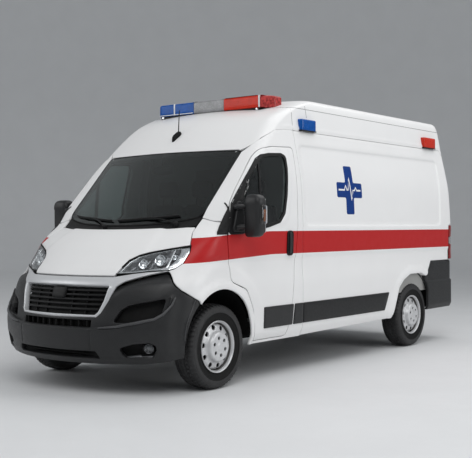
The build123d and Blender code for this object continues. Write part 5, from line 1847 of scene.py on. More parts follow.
    def fog_lamp(self, name: str, side: int) -> None:
        """Round fog lamp in its recess, with the pale blade beneath it.

        Args:
            name: "left" or "right".
            side: 1 or -1.
        """
        chart = Chart(Side.FRONT, side)
        x, z, radius = .822, .382, .036
        u = float(FORM.from_x(np.array([x]), np.array([z]))[0])
        point, out = normal_at(chart, u, z)
        centre = point - out * .030
        bowl = lathe([(radius * t, .020 * t * t - .010) for t in np.linspace(.02, 1, 8)]
                     + [(radius * 1.15, .012), (radius * 1.2, .006), (radius * 1.2, -.02)], centre, out, 28)
        solid(f"fog_reflector_{name}", *bowl, SILVER_DARK)
        lens = lathe([(0, .020), (radius * .5, .018), (radius * .9, .012), (radius, .008), (radius, .004),
                      (radius * .5, .010), (0, .012)], centre, out, 28)
        solid(f"fog_lens_{name}", *lens, CLEAR)
        ring = lathe([(radius * 1.02, .014), (radius * 1.12, .019),
                      (radius * 1.35, .012), (radius * 1.38, -.03)],
                     centre, out, 32)
        solid(f"fog_ring_{name}", *ring, TRIM)
        blade = chart.at([("x", .630, .306), ("x", .640, .318), ("x", .760, .336), ("x", .770, .326),
                          ("x", .850, .330), ("x", .858, .318), ("x", .800, .306)])
        mesh = panel_mesh(chart, rounded(blade, .005), raised=.010, edge=Edge(.005, ((0, .02),)), step=.02)
        solid(f"fog_blade_{name}", *mesh, SILVER_DARK)


SILVER_DARK = Finish("dark_silver", (0.20, 0.205, 0.215), 0.32, metallic=0.6, coat=0.2, grain=(900.0, 0.04),
                     mottle=(20.0, 0.25))


# ---- wheels ------------------------------------------------------------------
DISC_PROFILE = [(0, .1235), (.030, .1235), (.034, .1215),
                (.050, .1205), (.104, .1205), (.112, .1190), (.118, .1150),
                (.1225, .1070), (.1265, .0900), (.131, .0810), (.138, .0770), (.150, .0750), (.168, .0715),
                (.182, .0650), (.190, .0540), (.194, .0380)]
LIP_PROFILE = [(.1960, .078), (.1975, .0880), (.1995, .0935),
               (.2015, .0930), (.2030, .0915), (.2050, .0950),
               (.2080, .1000), (.2110, .1015), (.2138, .0990),
               (.2130, .0940), (.2090, .0920), (.2040, .0850),
               (.2000, .072), (.1960, .078)]
BARREL_PROFILE = [(.190, -.030), (.190, .030), (.193, .060), (.2015, .081), (.2055, .077), (.1965, .056),
                  (.1960, -.060), (.2110, -.088), (.2150, -.096),
                  (.2220, -.0975), (.2240, -.1010), (.2220, -.1050),
                  (.2175, -.1060), (.2070, -.0985), (.1970, -.082), (.190, -.030)]
SIDEWALL = [(.096, .3342), (.1005, .3270), (.1030, .3215), (.1022, .3190), (.1040, .3165), (.1062, .3100),
            (.1072, .2990), (.1074, .2880), (.1066, .2790), (.1048, .2735), (.1034, .2720), (.1012, .2600),
            (.0985, .2480), (.0950, .2380), (.0925, .2290), (.0905, .2210), (.0880, .2150), (.0850, .2100)]
TREAD_ROWS = [(0, .3490, 0), (.0125, .3490, 0), (.0145, .3420, 3), (.0205, .3420, 3), (.0225, .3488, 1),
              (.0360, .3485, 1), (.0490, .3478, 1), (.0510, .3408, 3), (.0570, .3404, 3), (.0590, .3470, 2),
              (.0740, .3455, 2), (.0880, .3412, 2)]


@dataclass(frozen=True)
class DiscChart:
    """Flat map of a wheel disc: the first coordinate points back, the second up.

    Attributes:
        centre: wheel centre.
        side: 1 if the disc faces the vehicle's left.
    """

    centre: tuple[float, float, float]
    side: int

    def place(self, uv: np.ndarray, sink: np.ndarray | float = 0.0) -> np.ndarray:
        """Points of the disc, moved inwards by sink."""
        radii, offsets = np.array(DISC_PROFILE).T
        out = np.interp(np.hypot(uv[:, 0], uv[:, 1]), radii, offsets) - sink
        return np.array(self.centre) + np.stack([self.side * out, uv[:, 0], uv[:, 1]], axis=1)

    @property
    def flip(self) -> bool:
        """Whether faces wound counter-clockwise in the chart face inwards."""
        return self.side < 0


@dataclass
class Wheel:
    """Steel wheel with vents, hub and tyre.

    Attributes:
        end: "front" or "rear".
        name: "left" or "right".
        side: 1 or -1.
    """

    end: str
    name: str
    side: int
    vents: int = 10
    bolts: int = 6
    pitches: int = 54

    @property
    def centre(self) -> tuple[float, float, float]:
        """Wheel centre."""
        x, y = (.888, FRONT_AXLE_Y) if self.end == "front" else (.880, REAR_AXLE_Y)
        return self.side * x, y, TYRE_R

    def build(self) -> None:
        """Build the rim and the tyre."""
        self.rim()
        self.tyre()

    def circle(self, radius: float, count: int, at: tuple[float, float] = (0.0, 0.0)) -> Loop:
        """Regular polygon in the disc's chart."""
        t = np.arange(count) * 2 * math.pi / count
        return np.stack([at[0] + radius * np.cos(t), at[1] + radius * np.sin(t)], axis=1)

    def ring_of(self, radius: float, count: int, turn: float = 0.0) -> list[tuple[float, float]]:
        """Evenly spaced points on a circle."""
        steps = [turn + i * 2 * math.pi / count for i in range(count)]
        return [(radius * math.cos(t), radius * math.sin(t)) for t in steps]

    def rim(self) -> None:
        """Barrel, vented disc, hub face, nuts and valve."""
        body, tag = f"wheel_{self.end}_{self.name}", f"{self.end}_{self.name}"
        axis, chart = (self.side, 0, 0), DiscChart(self.centre, self.side)
        vents = [self.circle(.0215, 18, p) for p in self.ring_of(.1600, self.vents, .489)]
        holes = [self.circle(.0155, 16, p) for p in self.ring_of(.0720, self.bolts, .70)]
        lines = [self.circle(r, 72) for r in (.030, .034,
                                              .050, .104,
                                              .112, .118, .1225, .1265, .131, .138, .1865, .190)]
        lines = [np.vstack([l, l[:1]]) for l in lines]
        disc = panel_mesh(chart, self.circle(.194, 72), vents + holes, lines=lines, step=.011,
                          edge=Edge(.001, ((0, .010),)), hole_edge=Edge(.0025, ((0, .012),)))
        lip = lathe(LIP_PROFILE, self.centre, axis, 96)
        rim = solid(f"rim_steel_{tag}", *merged([disc, lip]), RIM_PAINT, body, sharp=50)
        # The barrel takes the darker cast-metal finish instead of the rim paint: painted shade inside the
        # rim.
        solid(f"rim_barrel_{tag}", *lathe(BARREL_PROFILE, self.centre, axis, 72), CAST, body)
        stands_for(rim, "steel", f"rim_{tag}")
        inside = np.array(self.centre)
        hub = [lathe([(.020, .040), (.020, .1000), (.095, .0990), (.112, .070), (.112, .040), (.020, .040)],
                     inside, axis, 40)]
        hub += [lathe([(0, .110), (.006, .1095), (.0085, .107), (.0095, .100), (.0095, .095)],
                      inside + (0, y, z), axis, 6)
                for y, z in self.ring_of(.0720, self.bolts, .70)]
        solid(f"hub_nuts_{tag}", *merged(hub), UNDERSEAL, body)
        drum = lathe([(.02, .030), (.175, .030), (.178, .024), (.178, -.05), (.02, -.05)],
                     self.centre, axis, 48)
        solid(f"brake_drum_{tag}", *drum, RUBBER, body)
        start = np.array(self.centre) + (self.side * .072, 0, -.184)
        valve = tube([start, start + (self.side * .014, 0, .006), start + (self.side * .034, 0, .010)],
                     [.0045, .0045, .0035], 10)
        solid(f"valve_{tag}", *valve, RUBBER, body)

    def tyre(self) -> None:
        """Tyre with ribs, cross grooves and sidewall rings, and a darker ring of painted shade on the inner
        sidewall.
        """
        half = TREAD_ROWS + [(w, r, 0) for w, r in SIDEWALL]
        # The inner sidewall gets a darker rubber ring just proud of it: painted shade where the sidewall
        # turns in towards the rim.
        inner = [(r, w + .0006) for w, r in SIDEWALL[8:17]]
        inner = [(r, w) for r, w in inner] + [(r, w - .003) for r, w in inner[::-1]]
        ring = lathe(inner, self.centre, (self.side, 0, 0), 64)
        tag = f"{self.end}_{self.name}"
        solid(f"tyre_painted_shade_ring_{tag}", *ring, RUBBER, f"wheel_{tag}")
        rows = [(-w, r, k) for w, r, k in half[:0:-1]] + half
        stops = (0, .30, .60, .66, .94)
        turns = np.array([(i + f) / self.pitches for i in range(self.pitches) for f in stops]) * 2 * math.pi
        low = np.array([[0, 0, 0, 1, 1]] * self.pitches).ravel().astype(bool)
        shoulder = np.roll(low, 2)
        verts = []
        for w, r, kind in rows:
            radius = np.full(len(turns), r)
            if kind == 1:
                radius -= .0060 * (low if w > 0 else shoulder)
            elif kind == 2 or (kind == 0 and abs(w) == .096):
                radius -= .0062 * (shoulder if w > 0 else low)
            elif kind == 0 and abs(w) < .013:
                radius -= .0030 * np.roll(low, 1)
            verts.append(np.stack([np.full(len(turns), self.side * w), radius * np.cos(turns),
                                   radius * np.sin(turns)], axis=1))
        count = len(turns)
        verts = np.vstack(verts) + np.array(self.centre)
        faces = strip_faces([i * count for i in range(len(rows))] + [0], count, True, flip=self.side < 0)
        tag = f"{self.end}_{self.name}"
        tyre = solid(f"tyre_rubber_{tag}", verts, faces, TYRE, f"wheel_{self.end}_{self.name}", sharp=32)
        stands_for(tyre, "tyre", f"tyre_{tag}")


RIM_PAINT = Finish("rim_paint", (0.62, 0.625, 0.635), 0.34, metallic=0.30, coat=0.2, grain=(200.0, 0.006),
                   mottle=(18.0, 0.12))


# ---- rear end and roof lamps -------------------------------------------------
@dataclass(frozen=True)
class BumperChart:
    """Flat map of the rear bumper: distance from its middle round the corners, and height."""

    half: float = 1.024
    rear_y: float = 2.7065
    corner: float = 0.110

    def along(self, y: float) -> float:
        """First coordinate at which a side reaches y."""
        return self.half - self.corner + self.corner * math.pi / 2 + self.rear_y - self.corner - y

    def place(self, uv: np.ndarray, sink: np.ndarray | float = 0.0) -> np.ndarray:
        """Points of the chart, moved inwards by sink."""
        u, sign = np.abs(uv[:, 0]), np.where(uv[:, 0] < 0, -1.0, 1.0)
        flat = self.half - self.corner
        t = np.clip((u - flat) / self.corner, 0, math.pi / 2)
        r = self.corner - sink
        x = np.minimum(u, flat) + r * np.sin(t)
        y = self.rear_y - self.corner + r * np.cos(t) - np.maximum(u - flat - self.corner * math.pi / 2, 0)
        return np.stack([sign * x, y, uv[:, 1]], axis=1)

    @property
    def flip(self) -> bool:
        """Whether faces wound counter-clockwise in the chart face inwards."""
        return True


def stack(loop: Loop, levels: Sequence[tuple[float, float]]) -> tuple[np.ndarray, list[tuple[int, ...]]]:
    """Closed solid over a convex plan outline.

    Args:
        loop: counter-clockwise plan outline.
        levels: (inset, height) rows from the bottom up.

    Returns:
        Vertices and faces.
    """
    n = len(loop)
    rows = [np.column_stack([grow(loop, -inset) if inset else loop, np.full(n, z)]) for inset, z in levels]
    verts = np.vstack(rows)
    faces = strip_faces([i * n for i in range(len(rows))], n, True)
    return verts, faces + [tuple(range(n - 1, -1, -1)), tuple(range(len(verts) - n, len(verts)))]


@dataclass
class RearDoor:
    """One leaf of the rear doors with window, hinges and handle.

    Attributes:
        name: "left" or "right".
        side: 1 or -1.
    """

    name: str
    side: int
    half: float = .880
    window: tuple[float, float, float, float] = (.145, 1.340, .785, 1.940)

    def build(self) -> None:
        """Build the leaf and its fittings."""
        chart, tag = Chart(Side.REAR, self.side), self.name
        body = f"rear_door_{tag}"
        x0, z0, x1, z1 = self.window
        leaf = rounded([(.003, .485), (.877, .485), (.877, 2.152), (.003, 2.152)], [.02, .06, .10, .02])
        opening = rounded([(x0, z0), (x1, z0), (x1, z1), (x0, z1)], .07)

        def relief(u: np.ndarray, z: np.ndarray) -> np.ndarray:
            """Pressed panels below the window."""
            def pressed(low: float, high: float, depth: float) -> np.ndarray:
                """One sunken panel between two heights."""
                return -depth * (ease(z, low, low + .03) * ease(z, high, high - .03)
                                 * ease(u, .07, .10) * ease(u, .81, .78))
            return pressed(.56, .84, .008) + pressed(.90, 1.20, .008) + .004 * ease(z, 2.05, 2.10)

        lines = [spaced([(.06, z), (.82, z)], .03) for z in (.56, .59,
                                                             .81, .84, .90, .93, 1.17, 1.20, 2.05, 2.10)]
        lines += [spaced([(x, .53), (x, 1.23)], .03) for x in (.07, .10, .78, .81)]
        mesh = panel_mesh(chart, leaf, [opening], relief=relief, lines=lines, edge=DOOR_EDGE,
                          hole_edge=Edge(.004, ((0, .050),)), step=.03)
        stands_for(solid(f"rear_leaf_{tag}", *mesh, STRIPED, body), "paint", f"rear_door_{tag}")
        pane = panel_mesh(chart, grow(opening, .012), edge=Edge(.002, ((0, .004),)), raised=-.008, step=.06)
        stands_for(solid(f"rear_pane_{tag}", *pane, DARK_GLASS, body), "glass", f"rear_door_glass_{tag}")
        seal = panel_mesh(chart, grow(opening, .016), [grow(opening, -.014)], edge=Edge(.004, ((0, .012),)),
                          raised=.004, step=.05)
        solid(f"rear_seal_{tag}", *seal, RUBBER, body)
        card = panel_mesh(chart, grow(leaf, -.035), [grow(opening, .02)], edge=Edge(.006, ((0, .012),)),
                          raised=-.060, step=.06, relief=lambda u, z: .006 * ease(z, 1.22, 1.20))
        solid(f"rear_card_{tag}", *card, INTERIOR, body)
        rear_y = float(chart.place(np.array([(.5, 1.0)]))[0, 1])
        hinges = []
        for z in (1.010, 1.500, 1.990):
            y = float(chart.place(np.array([(.80, z)]))[0, 1])
            hinges.append(pillow((.075, .012, .060), (self.side * .846, y + .006, z), .005))
            hinges.append(lathe([(0, -.036), (.009, -.036),
                                 (.011, -.034), (.011, .034), (.009, .036), (0, .036)],
                                (self.side * .889, y + .006, z), (0, 0, 1), 16))
        solid(f"rear_hinges_{tag}", *merged(hinges), WHITE, body)
        fittings = []
        if self.side > 0:
            fittings.append(pillow((.56, .010, .135), (.44, rear_y + .001, .700), .004))
            for x in (.28, .60):
                fittings.append(pillow((.06, .026, .022), (x, rear_y + .008, .785), .008))
        else:
            fittings.append(pillow((.050, .022, .190), (-.075, rear_y + .008, 1.250), .012, crown=.004))
            fittings.append(pillow((.090, .010, .230), (-.075, rear_y + .001, 1.250), .008))
        solid(f"rear_fittings_{tag}", *merged(fittings), TRIM, body)


@dataclass
class RearEnd:
    """Rear bumper with its step and reflectors, and tail lamps."""

    def build(self) -> None:
        """Build every piece of the tail below the roof."""
        self.bumper()
        for name, side in SIDES:
            self.tail_lamp(name, side)

    def bumper(self) -> None:
        """Textured bumper that wraps both rear corners, with a ribbed step."""
        chart = BumperChart()
        along = chart.along
        half = np.array([(0, .385), (along(2.022), .380), (along(2.028), .600), (along(1.965), .760),
                         (along(2.100), .931), (.902, .931),
                         (.888, .915), (.884, .495), (.862, .474), (0, .474)])
        loop = joined(half, (half * (-1, 1))[::-1])
        radii = [.01, .02, .05, .04, .03, .02, .02, .02, .02, .01]
        loop = rounded(loop, (radii[1:-1] + radii[1:-1][::-1])[:len(loop)] if len(loop) == 16 else .02)
        edge_u = along(2.1)

        def relief(u: np.ndarray, z: np.ndarray) -> np.ndarray:
            """Crease at mid height, rolled foot and shoulder."""
            upper = -.016 * ease(z, .694, .712) * ease(np.abs(u), .86, .92)
            foot = -.016 * ease(z, .425, .385)
            top = -.010 * ease(z, .912, .931)
            return upper + foot + top - .004 * ease(np.abs(u), edge_u - .1, edge_u + .1)

        lines = [spaced([(s * .87, z), (s * 1.65, z)], .03) for s in (1, -1) for z in (.694, .703,
                                                                                       .712, .912)]
        lines.append(spaced([(-1.6, .425), (1.6, .425)], .03))
        mesh = panel_mesh(chart, loop, relief=relief, lines=lines, step=.03, edge=Edge(.008, ((0, .030),)))
        stands_for(solid("rear_bumper_skin", *mesh, BUMPER), "trim", "rear_bumper")
        ribs = [pillow((1.60, .010, .010), (0, y, .470), .004) for y in np.linspace(2.585, 2.690, 6)]
        ribs.append(pillow((1.66, .150, .012), (0, 2.628, .462), .005))
        solid("rear_step", *merged(ribs), RUBBER)
        eyes = [pillow((.110, .010, .040), (s * .79, 2.7075, .432), .004) for s in (1, -1)]
        solid("rear_reflectors", *merged(eyes), TAIL_RED)

    def tail_lamp(self, name: str, side: int) -> None:
        """Upright lamp on the rear corner: red, clear and red fields on a dark tray.

        Args:
            name: "left" or "right".
            side: 1 or -1.
        """
        chart = Chart(Side.SIDE, side)

        def field_of(low: float, high: float) -> Loop:
            """Outline between two heights, round the corner."""
            levels = np.linspace(low, high, 6)
            back = [(corner_u(chart, .892, z), z) for z in levels]
            return rounded([(2.564, low)] + back + [(2.564, high)], .010, .012)

        parts = [panel_mesh(chart, field_of(*zs), edge=Edge(.004, ((0, .012),)), raised=.006, step=.014,
                            relief=lambda u, z: .0012 * np.sin(z * 420)) for zs in ((.944, 1.116),
                                                                                    (1.204, 1.336))]
        stands_for(solid(f"tail_lens_{name}", *merged(parts), TAIL_RED), "lens_red", "tail_lamps")
        clear = panel_mesh(chart, field_of(1.122, 1.198),
                           edge=Edge(.004, ((0, .012),)), raised=.006, step=.014)
        solid(f"tail_clear_{name}", *clear, GREY_LENS)
        tray = panel_mesh(chart, grow(field_of(.944, 1.336), .002),
                          edge=Edge(.002, ((0, .030),)), raised=-.004,
                          step=.03)
        solid(f"tail_tray_{name}", *tray, RUBBER)


@dataclass
class RoofLamps:
    """Light bar, side beacons and aerial."""

    base_z: tuple[float, float] = (2.422, 2.450)
    lens_z: tuple[float, float] = (2.448, 2.566)
    red_end: tuple[tuple[float, float], ...] = ((.190, -.665), (.640, -.665), (.735, -.530), (.735, -.420),
                                                (.700, -.395), (.190, -.395))

    def build(self) -> None:
        """Build the lamps and the aerial."""
        self.bar()
        self.beacons()
        self.aerial()

    def lens(self, name: str, loop: Loop, finish: Finish, slot: str, node: str) -> None:
        """One lens of the bar with a rolled top.

        Args:
            name: object name.
            loop: plan outline, counter-clockwise.
            finish: lens finish.
            slot: colour slot.
            node: CAD node it stands for.
        """
        low, high = self.lens_z
        levels = [(.030, low), (.010, low + .001), (.003, low + .005),
                  (0, low + .014), (0, low + .050), (.001, high - .018),
                  (.004, high - .009), (.010, high - .003),
                  (.022, high)]
        stands_for(solid(name, *stack(loop, levels), finish), slot, node)

    def bar(self) -> None:
        """Base, feet, three lenses, joints and fasteners."""
        end = rounded([(.606, -.655), (.700, -.530), (.700, -.420), (.668, -.395), (.606, -.395)],
                      [.003, .03, .03, .02, .003], .012)
        red = rounded([(.190, -.665), (.598, -.665), (.602, -.660), (.602, -.395), (.190, -.395)], .003)
        blue = (rounded(self.red_end, [.003, .06, .04, .03, .02, .003], .012) * (-1, 1))[::-1]
        clear = rounded([(-.188, -.665), (.188, -.665), (.188, -.395), (-.188, -.395)], .003)
        self.lens("bar_red", red, RED_LENS, "lens_red", "lightbar_red")
        self.lens("bar_red_end", end, RED_FACETS, "lens_red", "lightbar_red")
        self.lens("bar_blue", blue, BLUE_LENS, "lens_blue", "lightbar_blue")
        self.lens("bar_clear", clear, GREY_LENS, "lens_grey", "lightbar_clear")
        outline = rounded([(-.700, -.395), (-.735, -.420), (-.735, -.530), (-.640, -.665),
                           (.600, -.665), (.700, -.530), (.700, -.420), (.668, -.395)],
                          [.02, .02, .03, .03, .03, .03, .02, .02], .012)
        outline = grow(outline, -.014)
        low, high = self.base_z
        base = [stack(outline, [(.020, low), (.008, low + .004), (.002, low + .010), (.002, high)])]
        for side in (1, -1):
            base.append(pillow((.100, .160, .125), (side * .560, -.520, 2.365), .012))
            base.append(pillow((.150, .200, .012), (side * .560, -.520, 2.298), .005))
        stands_for(solid("bar_base", *merged(base), TRIM), "trim", "lightbar_base")
        bolts = [lathe([(0, .012), (.009, .011), (.013, .006), (.013, 0)],
                       (x, -.652, 2.436), (0, -1, 0), 16)
                 for x in (-.600, .580)]
        solid("bar_bolts", *merged(bolts), CHROME)
        joints = [pillow((.020, .276, .114), (-.440, -.530, 2.508), .004),
                  pillow((.012, .268, .114), (.604, -.530, 2.508), .004)]
        joints.append(pillow((.440, .006, .008), (-.415, -.6655, 2.458), .002))
        solid("bar_joints", *merged(joints), SILVER)

    def beacons(self) -> None:
        """Flush flashing lamps high on the body sides."""
        places = (("blue", BLUE_LENS, -.440, -.197, 2.228, 2.338),
                  ("red", RED_LENS, 2.100, 2.380, 2.230, 2.352))
        for colour, finish, y0, y1, z0, z1 in places:
            lenses, frames = [], []
            for side in (1, -1):
                size = np.array((.150, y1 - y0, z1 - z0))
                at = np.array((side * .869, (y0 + y1) / 2, (z0 + z1) / 2))
                lenses.append(pillow(size, at, .014, crown=.002, steps=8))
                for k in range(7):
                    y = y0 + .030 + k * (y1 - y0 - .060) / 6
                    lenses.append(pillow((.006, .010, z1 - z0 - .036), (side * .9445, y, at[2]), .003))
                frames.append(pillow((.150, y1 - y0 + .016, .014), (side * .868, at[1], z0 + .002), .005))
                frames.append(pillow((.020, y1 - y0 + .014, z1 - z0 + .014),
                                     (side * .842, at[1], at[2]), .006))
            stands_for(solid(f"beacons_{colour}", *merged(lenses), finish),
                       f"lens_{colour}", f"side_beacons_{colour}")
            solid(f"beacon_frames_{colour}", *merged(frames), TRIM)

    def aerial(self) -> None:
        """Low dark base with a thin mast."""
        base = rounded([(-.020, -1.185), (.006, -1.185),
                        (.032, -1.120), (.026, -1.090), (-.022, -1.090), (-.034, -1.120)],
                       .014, .006)
        tops = [(0, 2.120), (0, 2.182), (.003, 2.196), (.010, 2.208), (.018, 2.213)]
        foot = stack(base, tops)
        foot[0][:, 2] += (foot[0][:, 1] + 1.13) * .55
        mast = tube([(0, -1.110, 2.205), (0, -1.105, 2.30), (0, -1.094, 2.425)], [.0055, .0045, .0035], 8)
        stands_for(solid("aerial_mast", *merged([foot, mast]), RUBBER), "trim", "aerial")


# ---- cab, load space and what lies under the floor ---------------------------
def swollen(size: Sequence[float], radius: float, cap: float = 0.016) -> tuple[np.ndarray,
                                                                               list[tuple[int, ...]]]:
    """Cushion round the origin, puffed up by a short cloth simulation.

    Args:
        size: full size of the pad.
        radius: edge radius of the form that the simulation starts from.
        cap: farthest that a point may move.

    Returns:
        Vertices and faces.
    """
    verts, faces = pillow(np.array(size) * (0.95, 0.95, 0.84), (0, 0, 0), radius, crown=.006, steps=14)
    scene = bpy.context.scene
    mesh = bpy.data.meshes.new("pad_form")
    mesh.from_pydata(verts.tolist(), [], [list(f) for f in faces])
    form = bpy.data.objects.new("pad_form", mesh)
    scene.collection.objects.link(form)
    remesh = form.modifiers.new("voxels", "REMESH")
    remesh.mode, remesh.voxel_size = "VOXEL", 0.010
    start_mesh = bpy.data.meshes.new_from_object(form.evaluated_get(bpy.context.evaluated_depsgraph_get()))
    form.modifiers.clear()
    form.data = start_mesh
    start = np.array([v.co for v in start_mesh.vertices])
    cloth = form.modifiers.new("cloth", "CLOTH")
    cloth.settings.quality = 3
    cloth.settings.use_pressure = True
    cloth.settings.uniform_pressure_force = 4.0
    cloth.settings.effector_weights.gravity = 0.0
    cloth.point_cache.frame_start, cloth.point_cache.frame_end = 1, 20
    for frame_number in range(1, 21):
        scene.frame_set(frame_number)
    puffed = bpy.data.meshes.new_from_object(form.evaluated_get(bpy.context.evaluated_depsgraph_get()))
    end = np.array([v.co for v in puffed.vertices])
    move = end - start
    length = np.linalg.norm(move, axis=1, keepdims=True)
    end = start + move * np.minimum(1.0, cap / np.maximum(length, 1e-9))
    result = [tuple(p.vertices) for p in puffed.polygons]
    bpy.data.objects.remove(form)
    scene.frame_set(1)
    return end, result


@dataclass
class Seats:
    """Driver's seat and two-place bench: pads on a boxed base."""

    places: tuple[float, ...] = (.480, -.160, -.600)
    width: float = .440
    lean: float = -4.2

    def build(self) -> None:
        """Build the pads once, then set them at each place."""
        cushion = self.sewn(swollen((self.width, .490, .150), .045), 2)
        back = self.sewn(swollen((self.width, .600, .125), .045), 2)
        tilt = Matrix.Rotation(math.radians(90 + self.lean), 3, "X")
        names = ("driver", "middle", "right")
        for name, x in zip(names, self.places):
            base = solid(f"seat_cushion_{name}",
                                   cushion[0] + (x, -.812, .918), cushion[1], FABRIC)
            turned = back[0] @ np.array(tilt).T + (x, -.596, 1.268)
            upright = solid(f"seat_back_{name}", turned, back[1], FABRIC)
            head = pillow((.225, .092, .170), (x, -.576, 1.700),
                          .042, Matrix.Rotation(math.radians(self.lean), 3, "X"),
                          crown=.006, steps=10)
            rest = solid(f"headrest_{name}", *head, FABRIC)
            for piece in (f"seat_cushion_{name}", f"seat_back_{name}", f"headrest_{name}"):
                stands_for(bpy.data.objects[piece], "seat", "seats")
            self.frame(name, x, base)

    def sewn(self, pad: tuple[np.ndarray, list[tuple[int, ...]]], axis: int
             ) -> tuple[np.ndarray, list[tuple[int, ...]]]:
        """Press two long seams into a pad's faces.

        Args:
            pad: vertices and faces.
            axis: the pad's thin axis.

        Returns:
            The pad with seams.
        """
        verts, faces = pad
        verts = np.array(verts)
        depth = .006 * np.exp(-((np.abs(verts[:, 0]) - .135) / .012) ** 2)
        depth += .004 * np.exp(-((verts[:, 1] + .09) / .014) ** 2) * (np.abs(verts[:, 0]) < .135)
        verts[:, axis] -= np.sign(verts[:, axis]) * depth * (np.abs(verts[:, axis]) > .02)
        return verts, faces

    def frame(self, name: str, x: float, _pad: object) -> None:
        """Base box, side shields and headrest posts of one place.

        Args:
            name: place.
            x: its middle.
        """
        parts = [pillow((.400, .420, .270), (x, -.790, .706), .020),
                 pillow((.430, .460, .030), (x, -.800, .846), .010),
                 pillow((self.width - .02, .030, .560), (x, -.536, 1.250), .012,
                        Matrix.Rotation(math.radians(self.lean), 3, "X"))]
        for dx in (-.21, .21):
            parts.append(pillow((.026, .420, .075), (x + dx * 1.04, -.770, .858), .012))
        for dx in (-.060, .060):
            parts.append(tube([(x + dx, -.590, 1.545), (x + dx, -.582, 1.640)], .006, 10))
        stands_for(solid(f"seat_frame_{name}", *merged(parts), INTERIOR), "trim", "seats")


@dataclass
class Cab:
    """Dashboard, steering wheel and gear lever."""

    wheel_at: tuple[float, float, float] = (.480, -1.250, 1.190)
    wheel_r: float = .185

    def build(self) -> None:
        """Build the cab's fittings."""
        self.dashboard()
        self.steering_wheel()

    def dashboard(self) -> None:
        """Moulded dashboard with binnacle, screen, vents and glove box."""
        loop = rounded([(-1.842, 1.268), (-1.842, 1.290), (-1.640, 1.282), (-1.440, 1.262), (-1.338, 1.205),
                        (-1.345, 1.085), (-1.450, .925), (-1.630, .925), (-1.630, 1.240)],
                       [.006, .008, .10, .05, .05, .05, .03, .02, .02], .02)[::-1]
        stations = np.linspace(-.915, .915, 47)
        rows = []
        for x in stations:
            reach = max(0.0, cowl_y(abs(x)) + .115 + 1.842)
            y = loop[:, 0] + reach * np.clip((-1.45 - loop[:, 0]) / .39, 0, 1)
            front = np.clip((loop[:, 0] + 1.43) / .08, 0, 1)
            middle = float(ease(np.array([abs(x)]), .20, .15)[0])
            y = y + front * (.030 * middle - .018 * float(ease(np.array([abs(x)]), .66, .90)[0]))
            rows.append(np.stack([np.full(len(loop), x), y, loop[:, 1]], axis=1))
        n = len(loop)
        faces = strip_faces([i * n for i in range(len(rows))], n, True)
        faces += [tuple(range(n - 1, -1, -1)), tuple(range(n * (len(rows) - 1), n * len(rows)))]
        stands_for(solid("dash_body", np.vstack(rows), faces, INTERIOR), "lining", "dashboard")
        lean = Matrix.Rotation(math.radians(-18), 3, "X")
        parts = [pillow((.400, .200, .085), (.480, -1.480, 1.292), .038, lean, crown=.008, steps=10),
                 pillow((.270, .060, .070), (0, -1.370, 1.262), .026, lean, crown=.004),
                 pillow((.500, .016, .170), (-.520, -1.352, 1.130),
                        .014, Matrix.Rotation(math.radians(8), 3, "X"))]
        lever = [(.140, -1.340, 1.000), (.140, -1.290, 1.070), (.140, -1.275, 1.120)]
        parts += [tube(lever, [.020, .012, .010], 12),
                  pillow((.044, .044, .060), (.140, -1.272, 1.142), .020)]
        solid("dash_fittings", *merged(parts), TRIM)
        panes = [pillow((.210, .012, .115), (0, -1.312, 1.190),
                        .006, Matrix.Rotation(math.radians(6), 3, "X")),
                 pillow((.330, .012, .060), (.480, -1.392, 1.290),
                        .006, Matrix.Rotation(math.radians(-35), 3, "X"))]
        solid("dash_screens", *merged(panes), GLOSS_BLACK)
        vents = []
        for x in (-.830, -.190, .190, .830):
            turn = Matrix.Rotation(math.radians(-14), 3, "X")
            vents.append(pillow((.110, .022, .070), (x, -1.352, 1.196), .010, turn))
            vents += [pillow((.096, .012, .004), (x, -1.342, 1.196 + dz),
                             .002, turn) for dz in (-.020, -.007, .007, .020)]
        knobs = [lathe([(0, .020), (.016, .019), (.019, .012), (.020, 0)],
                       (x, -1.312, 1.090), (0, 1, .1), 24)
                 for x in (-.070, 0, .070)]
        solid("dash_vents", *merged(vents + knobs), BUMPER)

    def steering_wheel(self) -> None:
        """Rim, three spokes, hub, column and stalks."""
        at, axis = np.array(self.wheel_at), np.array((0, .5, .866))
        right, down = np.array((1.0, 0, 0)), np.array((0, .866, -.5))
        turns = np.linspace(0, 2 * math.pi, 65)
        rim = [at + self.wheel_r * (math.cos(t) * right + math.sin(t) * down) for t in turns]
        basis = Matrix(np.stack([right, down, axis], axis=1).tolist())
        parts = [tube(rim, .0155, 14), pillow((.150, .135, .056), at - axis * .018, .024, basis, crown=.006,
                                              steps=10)]
        for t in (math.radians(-8), math.radians(188), math.radians(90)):
            out = math.cos(t) * right + math.sin(t) * down
            parts.append(tube([at + out * .055 - axis * .016,
                               at + out * .120 - axis * .010, at + out * self.wheel_r],
                              [.020, .015, .011], 12, .55))
        parts.append(tube([at - axis * .04, at - axis * .14, at - axis * .26], [.034, .042, .050], 20))
        for sign in (1, -1):
            parts.append(tube([at - axis * .085 + right * sign * .03, at - axis * .080 + right * sign * .12,
                               at - axis * .070 + right * sign * .165], [.008, .007, .010], 10))
        stands_for(solid("steering_rim", *merged(parts), TRIM), "trim", "steering_wheel")


